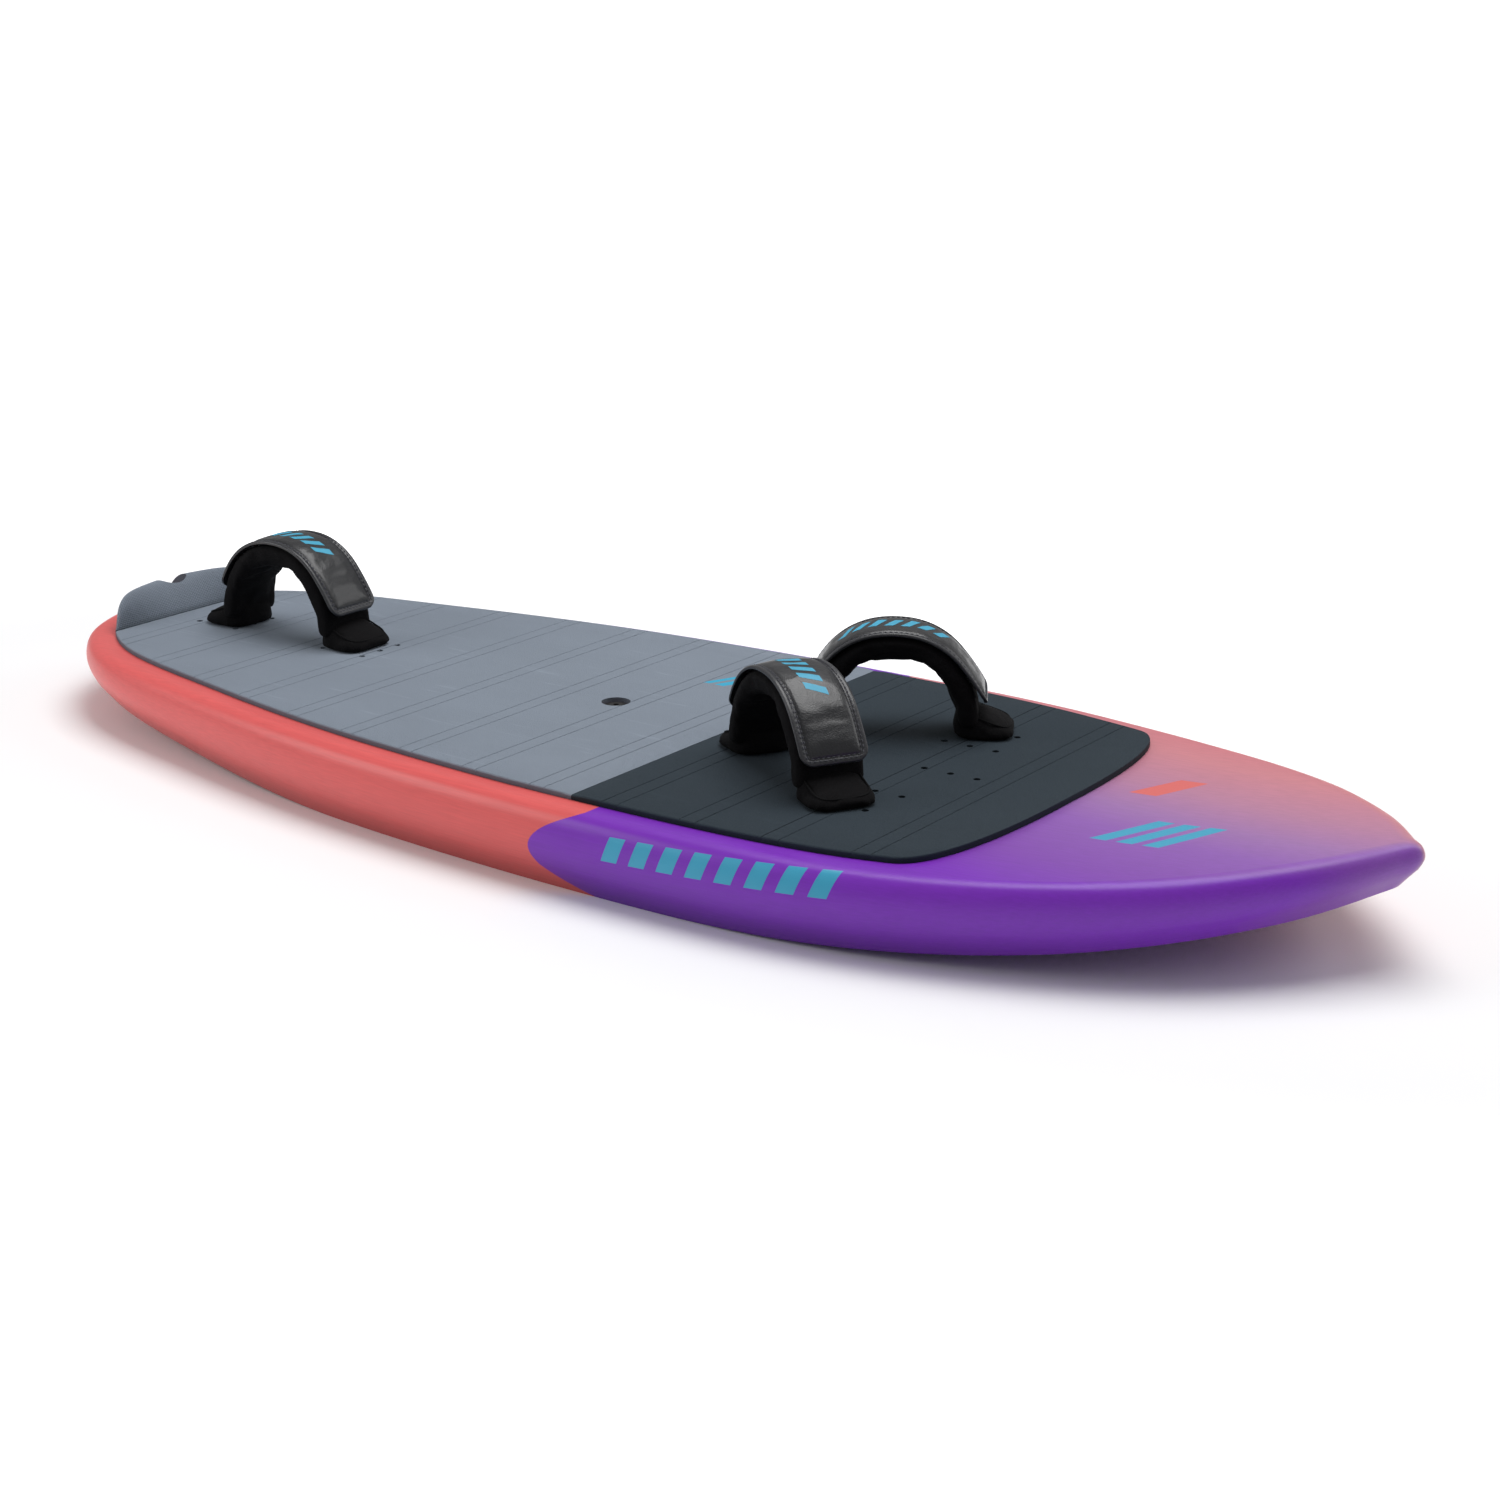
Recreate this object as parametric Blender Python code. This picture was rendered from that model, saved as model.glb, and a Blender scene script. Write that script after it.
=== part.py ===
"""Directional kite foil board: sandwich hull, deck pads, vent, twin foil tracks and three foot straps.

Metres. +X points to the nose, +Y to the left rail, +Z up. The origin is at mid-length on the
centreline, in the plane of the flat bottom panel.
"""

import math

import bmesh
import bpy
import numpy as np
from mathutils import Vector

# Hull
LENGTH = 1.37
DECK_HEIGHT = 0.070
NOSE_LIFT_X = 0.29
NOSE_LIFT_LENGTH = 0.35
NOSE_LIFT = 0.0245
NOSE_ROCKER = 0.052
TAIL_ROCKER = 0.036
# How each bottom line rises towards an end: (start, length, power), measured from mid-length
EDGE_NOSE_RISE = (0.10, 0.545, 2.5)
EDGE_TAIL_RISE = (0.20, 0.485, 1.6)
KEEL_NOSE_RISE = (0.12, 0.525, 2.5)
KEEL_TAIL_RISE = (0.51, 0.175, 1.5)
# The whole bottom curls up a little more at the very tip of the nose
TIP_CURL = 0.009
TIP_CURL_RISE = (0.60, 0.085, 2)
SKIN = 0.002
GAP = 0.0003
STATION_SPACING = 0.045
FINE_SPACING = 0.004
PARTING_RING = 4
# The rail's points are moved in towards a spine that stops short of the tail and the nose by these lengths
SPINE_ENDS = (0.13, 0.20)
# The rail line in plan, tail to nose: (x, half width)
RAIL_LINE = (
    (-0.685, 0.0),
    (-0.664, 0.068),
    (-0.630, 0.112),
    (-0.560, 0.157),
    (-0.400, 0.1985),
    (-0.200, 0.2335),
    (0.080, 0.250),
    (0.300, 0.2405),
    (0.450, 0.200),
    (0.560, 0.1425),
    (0.635, 0.0725),
    (0.674, 0.0175),
    (0.685, 0.0),
)
# Rail profile from the deck edge round to the bottom edge:
# (distance in from the rail, share of thickness)
RAIL_PROFILE = (
    (0.0145, 1.0),
    (0.0085, 0.965),
    (0.0040, 0.885),
    (0.0012, 0.76),
    (0.0, 0.56),
    (0.0015, 0.42),
    (0.0040, 0.31),
    (0.0175, 0.0),
)
KEEL_SHARE = 0.44

# Pads
PAD_THICK = 0.005
PAD_INSET = 0.030
PAD_INSET_GROWTH = 0.015
PAD_STATION_SPACING = 0.036
PAD_SEAM_X = 0.067
PAD_FRONT_X = 0.394
PAD_CAP_LENGTH = 0.044
PAD_CAP_POWER = 2.6
PAD_CAP_STEPS = 6
PAD_CAP_TURN = math.radians(76)
KICK_FRONT_X = -0.604
KICK_RISE = 0.0302
KICK_CREST = 0.44
KICK_REAR_RISE = 0.35
KICK_END_POWER = 8
NOTCH_X = -0.618
NOTCH_HALF_WIDTH = 0.0165
NOTCH_BEND_LENGTH = 0.008
NOTCH_BEND_STEPS = 8

# Vent
VENT_X = -0.062
VENT_POCKET_RADIUS = 0.013
VENT_FLANGE_RADIUS = 0.0115
VENT_BARREL_RADIUS = 0.0090
VENT_HEAD_RADIUS = 0.0065
VENT_HEAD_HEIGHT = 0.0022
VENT_BORE_RADIUS = 0.0036
VENT_BARREL_LOW = -0.018
VENT_WELL = 0.007
VENT_SEAT = -0.0015
VENT_FLANGE_HIGH = 0.0016
VENT_SCREW_LENGTH = 0.0145
VENT_SOCKET_DEPTH = 0.0016
SEAL_RADIUS = 0.0052
SEAL_CORD_RADIUS = 0.0007

# Foil tracks: standard foil plates bolt at 90 mm by 165 mm
TRACK_SPACING = 0.090
TRACK_CENTRE_X = -0.310
TRACK_LENGTH = 0.260
TRACK_WIDTH = 0.022
TRACK_DEPTH = 0.020
SLOT_WIDTH = 0.0092
SLOT_LIP = 0.0035
CHANNEL_WIDTH = 0.0150
CHANNEL_HEIGHT = 0.0075
SLOT_END = 0.010
NUT_PITCH = 0.165
NUT_SIDE = 0.0142
NUT_HEIGHT = 0.0060
NUT_HOLE_RADIUS = 0.0034
TRACK_BLOCK_MARGIN = 0.020
TRACK_BLOCK_TOP = 0.028

# Threaded inserts for the strap screws
INSERT_PITCH = 0.025
INSERT_DEPTH = 0.028
INSERT_FLOOR = 0.003
INSERT_WIDTH = 0.018
HOLE_RADIUS = 0.0036
SIDE_ROW_Y = 0.024
MIDDLE_ROW = (0.2582, 0.072)
CENTRE_ROW = (0.2837, 0.0)

# Foot straps, measured from the strap's own centre on the pad
STRAP_HEADING = math.radians(31)
FRONT_STRAP = (0.181, 0.073)
REAR_STRAP_X = -0.455
SCREW_REACH = 0.084
ARCH_REACH = 0.0687
ARCH_HEIGHT = 0.083
ARCH_POWER = 2.2
SLEEVE_WIDTH = 0.062
# The padding lies mostly on the foot's side of the webbing
SLEEVE_OUTSIDE = 0.0065
SLEEVE_INSIDE = 0.0140
SLEEVE_CORNER = 0.0055
SLEEVE_ENDS = (11.0, 169.0)
WEBBING_WIDTH = 0.038
WEBBING_THICK = 0.0025
COVER_THICK = 0.003
COVER_WIDTH = 0.059
COVER_START_ANGLE = 23.0
FLAP_ROOT_ANGLE = 104.0
FLAP_ROOT_GAP = 0.25
FLAP_END_ANGLE = 163.0
COVER_END_LIFT = 0.003
FLAP_END_LIFT = 0.005
FOOT_CENTRE = 0.0767
FOOT_LENGTH = 0.050
FOOT_WIDTH = 0.058
FOOT_HEIGHT = 0.0155
FOOT_CORNER = 0.014
# The webbing lies flat from its tail outside the screw to its bend inside the screw
WEBBING_TAIL = 0.0125
WEBBING_BEND = 0.0085
FOOT_WALL = 0.0045
FOOT_HOLLOW_HALF_WIDTH = 0.021
FOOT_SLOT_X = (0.0635, 0.0730)
FOOT_SLOT_HALF_WIDTH = 0.0205
# Rings of the foot cover from the pad up: (share of height, shorter by, narrower by, shift)
FOOT_RINGS = (
    (0.0, 0.0, 0.0, 0.0),
    (0.5, 0.0, 0.0, 0.0),
    (0.85, 0.010, 0.006, -0.003),
    (1.0, 0.022, 0.014, -0.006),
)
PLATE_SIZE = (0.022, 0.036, 0.002)
SCREW_RADIUS = 0.003
SCREW_HEAD_RADIUS = 0.007
SCREW_HEAD_HEIGHT = 0.004
SCREW_LENGTH = 0.024
SOCKET_RADIUS = 0.0025
SOCKET_DEPTH = 0.0025
# Heights that cutters start and stop at, well clear of the solids they cut
BELOW_BOARD = -0.01
BELOW_PADS = 0.06
ABOVE_BOARD = 0.12

TAIL_X = -LENGTH / 2
NOSE_X = LENGTH / 2
PAD_TOP = DECK_HEIGHT + GAP + PAD_THICK


# ---------------------------------------------------------------- small tools


def clear_scene():
    for obj in list(bpy.data.objects):
        bpy.data.objects.remove(obj, do_unlink=True)


def material(name, colour, roughness, metallic=0.0):
    mat = bpy.data.materials.new(name)
    mat.use_nodes = True
    shader = mat.node_tree.nodes["Principled BSDF"]
    shader.inputs["Base Color"].default_value = (*colour, 1.0)
    shader.inputs["Roughness"].default_value = roughness
    shader.inputs["Metallic"].default_value = metallic
    mat.diffuse_color = (*colour, 1.0)
    return mat


def mesh_of(name, points, faces, sharp_angle=35.0):
    """A closed mesh from points and faces, with its faces pointing out."""
    shape = bmesh.new()
    corners = [shape.verts.new(point) for point in points]
    for face in faces:
        shape.faces.new([corners[index] for index in face])
    bmesh.ops.recalc_face_normals(shape, faces=shape.faces)
    mesh = bpy.data.meshes.new(name)
    shape.to_mesh(mesh)
    shape.free()
    mesh.shade_smooth()
    mesh.set_sharp_from_angle(angle=math.radians(sharp_angle))
    return mesh


def place(name, mesh, mat, parent=None, location=(0, 0, 0)):
    """Puts a mesh in the scene as the named part."""
    obj = bpy.data.objects.new(name, mesh)
    if not mesh.materials:
        mesh.materials.append(mat)
    obj.parent = parent
    obj.location = location
    bpy.context.scene.collection.objects.link(obj)
    return obj


def cut(obj, cutter):
    """Takes the cutter's shape out of the part."""
    modifier = obj.modifiers.new(cutter.name, "BOOLEAN")
    modifier.operation = "DIFFERENCE"
    modifier.object = cutter


def cutter(name, points_and_faces):
    """A hidden object that other parts are cut with."""
    obj = bpy.data.objects.new(name, mesh_of(name, *points_and_faces))
    obj.hide_render = True
    obj.display_type = "WIRE"
    bpy.context.scene.collection.objects.link(obj)
    return obj


def joined(shapes):
    """Several point-and-face lists as one."""
    points, faces = [], []
    for shape_points, shape_faces in shapes:
        start = len(points)
        points += shape_points
        faces += [[start + index for index in face] for face in shape_faces]
    return points, faces


def loft(rings):
    """A solid through closed rings of equal length, with a flat end at each side."""
    size = len(rings[0])
    points = [point for ring in rings for point in ring]
    faces = [list(range(size))]
    for row in range(len(rings) - 1):
        low, high = row * size, (row + 1) * size
        for index in range(size):
            after = (index + 1) % size
            faces.append([low + index, low + after, high + after, high + index])
    last = (len(rings) - 1) * size
    faces.append([last + index for index in range(size)])
    return points, faces


def tube(outer, inner):
    """A pipe between matching outer and inner rings, open at both ends."""
    size, rows = len(outer[0]), len(outer)
    points = [point for ring in outer + inner for point in ring]
    inside = rows * size
    faces = []
    for index in range(size):
        after = (index + 1) % size
        for row in range(rows - 1):
            low, high = row * size, (row + 1) * size
            quad = [low + index, low + after, high + after, high + index]
            faces.append(quad)
            faces.append([inside + corner for corner in reversed(quad)])
        for row in (0, rows - 1):
            edge = row * size
            far = inside + edge
            faces.append([edge + index, edge + after, far + after, far + index])
    return points, faces


def box(low, high):
    ring = [(low[0], low[1]), (high[0], low[1]), (high[0], high[1]), (low[0], high[1])]
    return loft([[(x, y, z) for x, y in ring] for z in (low[2], high[2])])


def circle(centre, radius, z, segments):
    turns = [2 * math.pi * step / segments for step in range(segments)]
    return [(centre[0] + radius * math.cos(t), centre[1] + radius * math.sin(t), z) for t in turns]


def prism(centre, radius, low, high, segments=8):
    return loft([circle(centre, radius, z, segments) for z in (low, high)])


def turned(profile, segments=16):
    """A solid of revolution about Z through (radius, height) corners; a radius of 0 closes an end."""
    rings = [circle((0, 0), radius, height, segments) for radius, height in profile if radius > 0]
    points, faces = loft(rings)
    ends = [height for radius, height in profile if radius == 0]
    if not ends:
        faces[0], faces[-1] = None, None
        last = (len(rings) - 1) * segments
        joins = [[last + i, last + (i + 1) % segments, (i + 1) % segments, i] for i in range(segments)]
        faces = [face for face in faces if face] + joins
    return points, faces


def headed_screw(length, head_radius, head_height, socket_depth, segments):
    """A screw with a plain shank and a round socket, its head's underside at height 0."""
    profile = (
        (SCREW_RADIUS, -length),
        (SCREW_RADIUS, 0.0),
        (head_radius, 0.0),
        (head_radius, head_height),
        (SOCKET_RADIUS, head_height),
        (SOCKET_RADIUS, head_height - socket_depth),
    )
    return loft([circle((0, 0), radius, height, segments) for radius, height in profile])


def rounded_rectangle(length, width, radius, arc_steps=3):
    """Plan corners of a rounded rectangle about the origin."""
    corners = []
    for turn, (side_x, side_y) in enumerate(((1, 1), (-1, 1), (-1, -1), (1, -1))):
        centre = (side_x * (length / 2 - radius), side_y * (width / 2 - radius))
        for step in range(arc_steps + 1):
            angle = math.pi / 2 * (turn + step / arc_steps)
            x = centre[0] + radius * math.cos(angle)
            corners.append((x, centre[1] + radius * math.sin(angle)))
    return corners


# ---------------------------------------------------------------- hull form


def smooth_curve(corners, spacing):
    """A centripetal Catmull-Rom curve through plan points that mirrors at both ends."""
    (x_start, y_start), (x_end, y_end) = corners[1], corners[-2]
    inner = [Vector(corner) for corner in corners]
    knots = [Vector((x_start, -y_start)), *inner, Vector((x_end, -y_end))]
    curve = []
    for before, start, end, after in zip(knots, knots[1:], knots[2:], knots[3:]):
        times = [0.0]
        for low, high in ((before, start), (start, end), (end, after)):
            times.append(times[-1] + math.sqrt((high - low).length))
        steps = max(2, round((end - start).length / spacing))
        for step in range(steps):
            now = times[1] + (times[2] - times[1]) * step / steps
            points = [before, start, end, after]
            for level in (1, 2, 3):
                for i in range(4 - level):
                    low, high = (times[i], times[i + level]) if level < 3 else (times[1], times[2])
                    share = (now - low) / (high - low)
                    points[i] = points[i].lerp(points[i + 1], share)
            curve.append((points[0].x, points[0].y))
    return curve + [corners[-1]]


FINE_RAIL = smooth_curve(RAIL_LINE, FINE_SPACING)
FINE_X = [point[0] for point in FINE_RAIL]
FINE_Y = [point[1] for point in FINE_RAIL]


def half_width(x):
    """Half the board's width at the rail."""
    return float(np.interp(x, FINE_X, FINE_Y))


def rise(distance, height, start, length, power):
    """How far a line has risen at a distance from mid-length."""
    return height * max(0.0, (distance - start) / length) ** power


def deck_z(x):
    """The deck is flat, then lifts towards the nose."""
    return DECK_HEIGHT + rise(x, NOSE_LIFT, NOSE_LIFT_X, NOSE_LIFT_LENGTH, 2)


def rail_bottom_z(x):
    """The bottom's outer edge rises towards both ends."""
    nose = rise(x, NOSE_ROCKER, *EDGE_NOSE_RISE) + rise(x, TIP_CURL, *TIP_CURL_RISE)
    return nose + rise(-x, TAIL_ROCKER, *EDGE_TAIL_RISE)


def keel_z(x):
    """The centre panel stays flat further than the edges do."""
    nose = rise(x, NOSE_ROCKER, *KEEL_NOSE_RISE) + rise(x, TIP_CURL, *TIP_CURL_RISE)
    return nose + rise(-x, TAIL_ROCKER, *KEEL_TAIL_RISE)


def outline():
    """The rail line in plan, once round from the tail tip by the right rail to the nose and back."""
    left = smooth_curve(RAIL_LINE, STATION_SPACING)
    return [(x, -y) for x, y in left] + list(reversed(left[1:-1]))


def moved_in(point, distance):
    """A plan point moved in from the rail, towards the nearest part of the board's spine."""
    x, y = point
    spine_x = min(max(x, TAIL_X + SPINE_ENDS[0]), NOSE_X - SPINE_ENDS[1])
    to_spine = Vector((spine_x - x, -y))
    step = to_spine.normalized() * distance
    return x + step.x, y + step.y


def hull_surface():
    """Points, triangles and the deck's triangle count of the outer surface.

    Rings of the rail profile come first, each as long as the outline, then two rows of keel points.
    """
    rail = outline()
    count, half = len(rail), len(rail) // 2
    points = []
    for distance, share in RAIL_PROFILE:
        for corner in rail:
            x, y = moved_in(corner, distance)
            low = rail_bottom_z(x)
            points.append((x, y, low + share * (deck_z(x) - low)))
    bottom = (len(RAIL_PROFILE) - 1) * count
    keel = len(points)
    for side in (1, -1):
        for x, y, _ in points[bottom + 1 : bottom + half]:
            points.append((x, side * KEEL_SHARE * y, keel_z(x)))

    quads_deck = [[i, i + 1, count - i - 1, (count - i) % count] for i in range(half)]
    quads_bottom = []
    for ring in range(len(RAIL_PROFILE) - 1):
        start = ring * count
        for i in range(count):
            after = (i + 1) % count
            quad = [start + i, start + count + i, start + count + after, start + after]
            (quads_deck if ring < PARTING_RING else quads_bottom).append(quad)
    strips = (
        [bottom + i for i in range(half + 1)],
        [bottom] + [keel + i for i in range(half - 1)] + [bottom + half],
        [bottom] + [keel + half - 1 + i for i in range(half - 1)] + [bottom + half],
        [bottom] + [bottom + count - i for i in range(1, half)] + [bottom + half],
    )
    for near, far in zip(strips, strips[1:]):
        quads_bottom += [[near[i], far[i], far[i + 1], near[i + 1]] for i in range(half)]

    def triangles(quads):
        halves = [pair for a, b, c, d in quads for pair in ((a, b, c), (a, c, d))]
        return [face for face in halves if len(set(face)) == 3]

    deck = triangles(quads_deck)
    return points, deck + triangles(quads_bottom), len(deck)


def offset_in(points, faces, distance):
    """The points of a closed surface moved inside it, so that each face moves in by the distance."""
    shape = bmesh.new()
    corners = [shape.verts.new(point) for point in points]
    for face in faces:
        shape.faces.new([corners[index] for index in face])
    bmesh.ops.recalc_face_normals(shape, faces=shape.faces)
    shape.normal_update()
    moved = [tuple(v.co - v.normal * distance * v.calc_shell_factor()) for v in shape.verts]
    shape.free()
    return moved


def skin_shell(points, inner, faces, lift):
    """A laminate between the outer and inner surfaces over the given faces.

    Its edge is lifted clear of the parting line round the rail.
    """
    used = sorted({index for face in faces for index in face})
    slot = {index: place_in for place_in, index in enumerate(used)}
    parting = range(PARTING_RING * len(outline()), (PARTING_RING + 1) * len(outline()))
    shell = []
    for surface in (points, inner):
        for index in used:
            x, y, z = surface[index]
            shell.append((x, y, z + (lift if index in parting else 0.0)))
    outside = [[slot[index] for index in face] for face in faces]
    inside = [[len(used) + index for index in reversed(face)] for face in outside]
    ring = [slot[index] for index in parting]
    rim = []
    for at, after in zip(ring, ring[1:] + ring[:1]):
        rim.append([at, after, len(used) + after, len(used) + at])
    return shell, outside + inside + rim


# ---------------------------------------------------------------- deck hardware places


def strap_frames():
    """Each strap's name, centre in plan and heading. Its own +X end is its front foot."""
    x, y = FRONT_STRAP
    return (
        ("rear_strap", (REAR_STRAP_X, 0.0), 0.0),
        ("left_strap", (x, y), STRAP_HEADING),
        ("right_strap", (x, -y), -STRAP_HEADING),
    )


def screw_spots():
    """Where each strap screw goes down, by block name."""
    spots = {}
    for name, (x, y), heading in strap_frames():
        for end, side in (("front", 1), ("rear", -1)):
            reach = side * SCREW_REACH
            spots[f"{name}_{end}"] = (x + reach * math.cos(heading), y + reach * math.sin(heading))
    return spots


def insert_blocks():
    """Each insert block's centre, side rows and hole places."""
    centres = dict(screw_spots())
    centres["centre_row"] = CENTRE_ROW
    centres["left_row"] = MIDDLE_ROW
    centres["right_row"] = (MIDDLE_ROW[0], -MIDDLE_ROW[1])
    blocks = {}
    for name, (x, y) in centres.items():
        holes = [(x + step * INSERT_PITCH, y) for step in (-1, 0, 1)]
        half_y = INSERT_WIDTH / 2
        if name.startswith("rear_strap"):
            half_y += SIDE_ROW_Y
            for step in (-1, 1):
                holes += [(x + step * INSERT_PITCH, side * SIDE_ROW_Y) for side in (-1, 1)]
        blocks[f"insert_block_{name}"] = ((x, y), INSERT_PITCH + INSERT_WIDTH / 2, half_y, holes)
    return blocks


# ---------------------------------------------------------------- hull parts


def track_openings():
    """Boxes that clear both foil tracks."""
    boxes = []
    for side in (-1, 1):
        x, y = TRACK_CENTRE_X, side * TRACK_SPACING / 2
        half_x, half_y = TRACK_LENGTH / 2 + GAP, TRACK_WIDTH / 2 + GAP
        low = (x - half_x, y - half_y, BELOW_BOARD)
        boxes.append(box(low, (x + half_x, y + half_y, TRACK_DEPTH + GAP)))
    return joined(boxes)


def build_blocks(mats, track_hole):
    """The dense blocks in the core. Returns the pockets that clear them."""
    half_x = TRACK_LENGTH / 2 + TRACK_BLOCK_MARGIN
    half_y = TRACK_SPACING / 2 + TRACK_WIDTH
    low = (TRACK_CENTRE_X - half_x, -half_y, SKIN + GAP)
    high = (TRACK_CENTRE_X + half_x, half_y, TRACK_BLOCK_TOP)
    track_block = place("track_block", mesh_of("track_block", *box(low, high)), mats["block"])
    cut(track_block, track_hole)
    pockets = [box((low[0] - GAP, low[1] - GAP, BELOW_BOARD), tuple(v + GAP for v in high))]

    top = DECK_HEIGHT - SKIN - GAP
    for name, ((x, y), half_x, half_y, holes) in insert_blocks().items():
        low = (x - half_x, y - half_y, top - INSERT_DEPTH)
        high = (x + half_x, y + half_y, top)
        bores = joined(prism(spot, HOLE_RADIUS, low[2] + INSERT_FLOOR, ABOVE_BOARD) for spot in holes)
        block = place(name, mesh_of(name, *box(low, high)), mats["insert"])
        cut(block, cutter(f"{name}_cutter", bores))
        pockets.append(box(tuple(v - GAP for v in low), (high[0] + GAP, high[1] + GAP, ABOVE_BOARD)))
    return pockets


def build_hull(mats):
    points, faces, deck_count = hull_surface()
    inner = offset_in(points, faces, SKIN)
    core = offset_in(points, faces, SKIN + GAP)

    hole_low = DECK_HEIGHT / 2
    holes = []
    for _, _, _, spots in insert_blocks().values():
        holes += [prism(spot, HOLE_RADIUS, hole_low, ABOVE_BOARD) for spot in spots]
    screw_holes = cutter("strap_hole_cutter", joined(holes))
    vent_bore = prism((VENT_X, 0), VENT_BARREL_RADIUS + GAP, hole_low, ABOVE_BOARD, 24)
    vent_hole = cutter("vent_hole_cutter", vent_bore)
    track_hole = cutter("track_hole_cutter", track_openings())

    deck_shell = skin_shell(points, inner, faces[:deck_count], GAP / 2)
    deck = place("deck_skin", mesh_of("deck_skin", *deck_shell), mats["deck"])
    cut(deck, screw_holes)
    cut(deck, vent_hole)
    bottom_shell = skin_shell(points, inner, faces[deck_count:], -GAP / 2)
    bottom = place("bottom_skin", mesh_of("bottom_skin", *bottom_shell), mats["bottom"])
    cut(bottom, track_hole)

    vent_low = DECK_HEIGHT + VENT_BARREL_LOW - VENT_WELL
    vent_pocket = prism((VENT_X, 0), VENT_BARREL_RADIUS + GAP, vent_low, ABOVE_BOARD, 24)
    pockets = build_blocks(mats, track_hole) + [vent_pocket]
    foam = place("foam_core", mesh_of("foam_core", core, faces), mats["foam"])
    cut(foam, cutter("core_pocket_cutter", joined(pockets)))
    return screw_holes


def build_tracks(mats):
    """Moulded foil tracks: a T slot that opens down, a loading pocket and two sliding nuts each."""
    half = TRACK_LENGTH / 2
    slot_half = half - SLOT_END
    channel_top = SLOT_LIP + CHANNEL_HEIGHT
    overlap_top = SLOT_LIP + 0.001
    pocket_end = -slot_half + CHANNEL_WIDTH + 0.002
    slot = cutter(
        "track_slot_cutter",
        box((-slot_half, -SLOT_WIDTH / 2, BELOW_BOARD), (slot_half, SLOT_WIDTH / 2, overlap_top)),
    )
    channel = cutter(
        "track_channel_cutter",
        box((-slot_half, -CHANNEL_WIDTH / 2, SLOT_LIP), (slot_half, CHANNEL_WIDTH / 2, channel_top)),
    )
    pocket = cutter(
        "track_pocket_cutter",
        box((-slot_half, -CHANNEL_WIDTH / 2, BELOW_BOARD), (pocket_end, CHANNEL_WIDTH / 2, overlap_top)),
    )
    body = box((-half, -TRACK_WIDTH / 2, 0), (half, TRACK_WIDTH / 2, TRACK_DEPTH))
    track = mesh_of("foil_track", *body)
    nut = mesh_of("track_nut", *track_nut_shape())
    for side, side_name in ((1, "left"), (-1, "right")):
        y = side * TRACK_SPACING / 2
        holder = bpy.data.objects.new(f"track_frame_{side_name}", None)
        holder.location = (TRACK_CENTRE_X, y, 0)
        bpy.context.scene.collection.objects.link(holder)
        rail = place(f"foil_track_{side_name}", track, mats["track"], holder)
        for tool in (slot, channel, pocket):
            copy = tool if side == 1 else bpy.data.objects.new(f"{tool.name}_right", tool.data)
            if side == -1:
                copy.hide_render = True
                copy.display_type = "WIRE"
                bpy.context.scene.collection.objects.link(copy)
            copy.parent = holder
            cut(rail, copy)
        for end, end_name in ((1, "front"), (-1, "rear")):
            spot = (end * NUT_PITCH / 2, 0, SLOT_LIP + GAP)
            place(f"track_nut_{side_name}_{end_name}", nut, mats["brass"], holder, spot)


def pierced_plate(length, width, hole_radius, low, high, steps):
    """A rectangular plate with a round hole through its middle."""
    outer, inner = [], []
    for step in range(steps):
        angle = 2 * math.pi * (step + 0.5) / steps
        across, up = math.cos(angle), math.sin(angle)
        reach = 1 / max(2 * abs(across) / length, 2 * abs(up) / width)
        outer.append((reach * across, reach * up))
        inner.append((hole_radius * across, hole_radius * up))
    rings = [[[(x, y, z) for x, y in side] for z in (low, high)] for side in (outer, inner)]
    return tube(*rings)


def track_nut_shape():
    """A square nut with a plain hole in place of its thread."""
    return pierced_plate(NUT_SIDE, NUT_SIDE, NUT_HOLE_RADIUS, 0.0, NUT_HEIGHT, 16)


# ---------------------------------------------------------------- pads and vent


def pad_half_width(x):
    """The pads stop short of the rail, by a little more towards the nose."""
    step = 0.001
    slope = (half_width(x + step) - half_width(x - step)) / (2 * step)
    return half_width(x) - (PAD_INSET + PAD_INSET_GROWTH * max(0.0, x)) * math.hypot(1, slope)


def front_pad_half_width(x):
    """The front pad's end is a flat, round-cornered cap."""
    share = max(0.0, (x - (PAD_FRONT_X - PAD_CAP_LENGTH)) / PAD_CAP_LENGTH)
    return pad_half_width(x) * max(0.0, 1 - share**PAD_CAP_POWER) ** (1 / PAD_CAP_POWER)


def grid_plate(top, bottom, size):
    """A closed plate from matching grids of top and bottom points, given row by row."""
    rows, under = len(top) // size, len(top)
    faces = []
    for row in range(rows - 1):
        for column in range(size - 1):
            a = row * size + column
            quad = [a, a + size, a + size + 1, a + 1]
            faces += [quad, [under + index for index in reversed(quad)]]
    rim = [row * size for row in range(rows)]
    rim += [(rows - 1) * size + column for column in range(1, size)]
    rim += [row * size + size - 1 for row in reversed(range(rows - 1))]
    rim += list(reversed(range(1, size - 1)))
    for at, after in zip(rim, rim[1:] + rim[:1]):
        faces.append([at, after, under + after, under + at])
    return top + bottom, faces


def pad_plate(stations, width_at, columns=4):
    """A plate of even thickness that follows the deck, through plan stations."""
    top, bottom = [], []
    for x in stations:
        for column in range(columns + 1):
            y = width_at(x) * (2 * column / columns - 1)
            bottom.append((x, y, deck_z(x) + GAP))
            top.append((x, y, deck_z(x) + GAP + PAD_THICK))
    return grid_plate(top, bottom, columns + 1)


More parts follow.
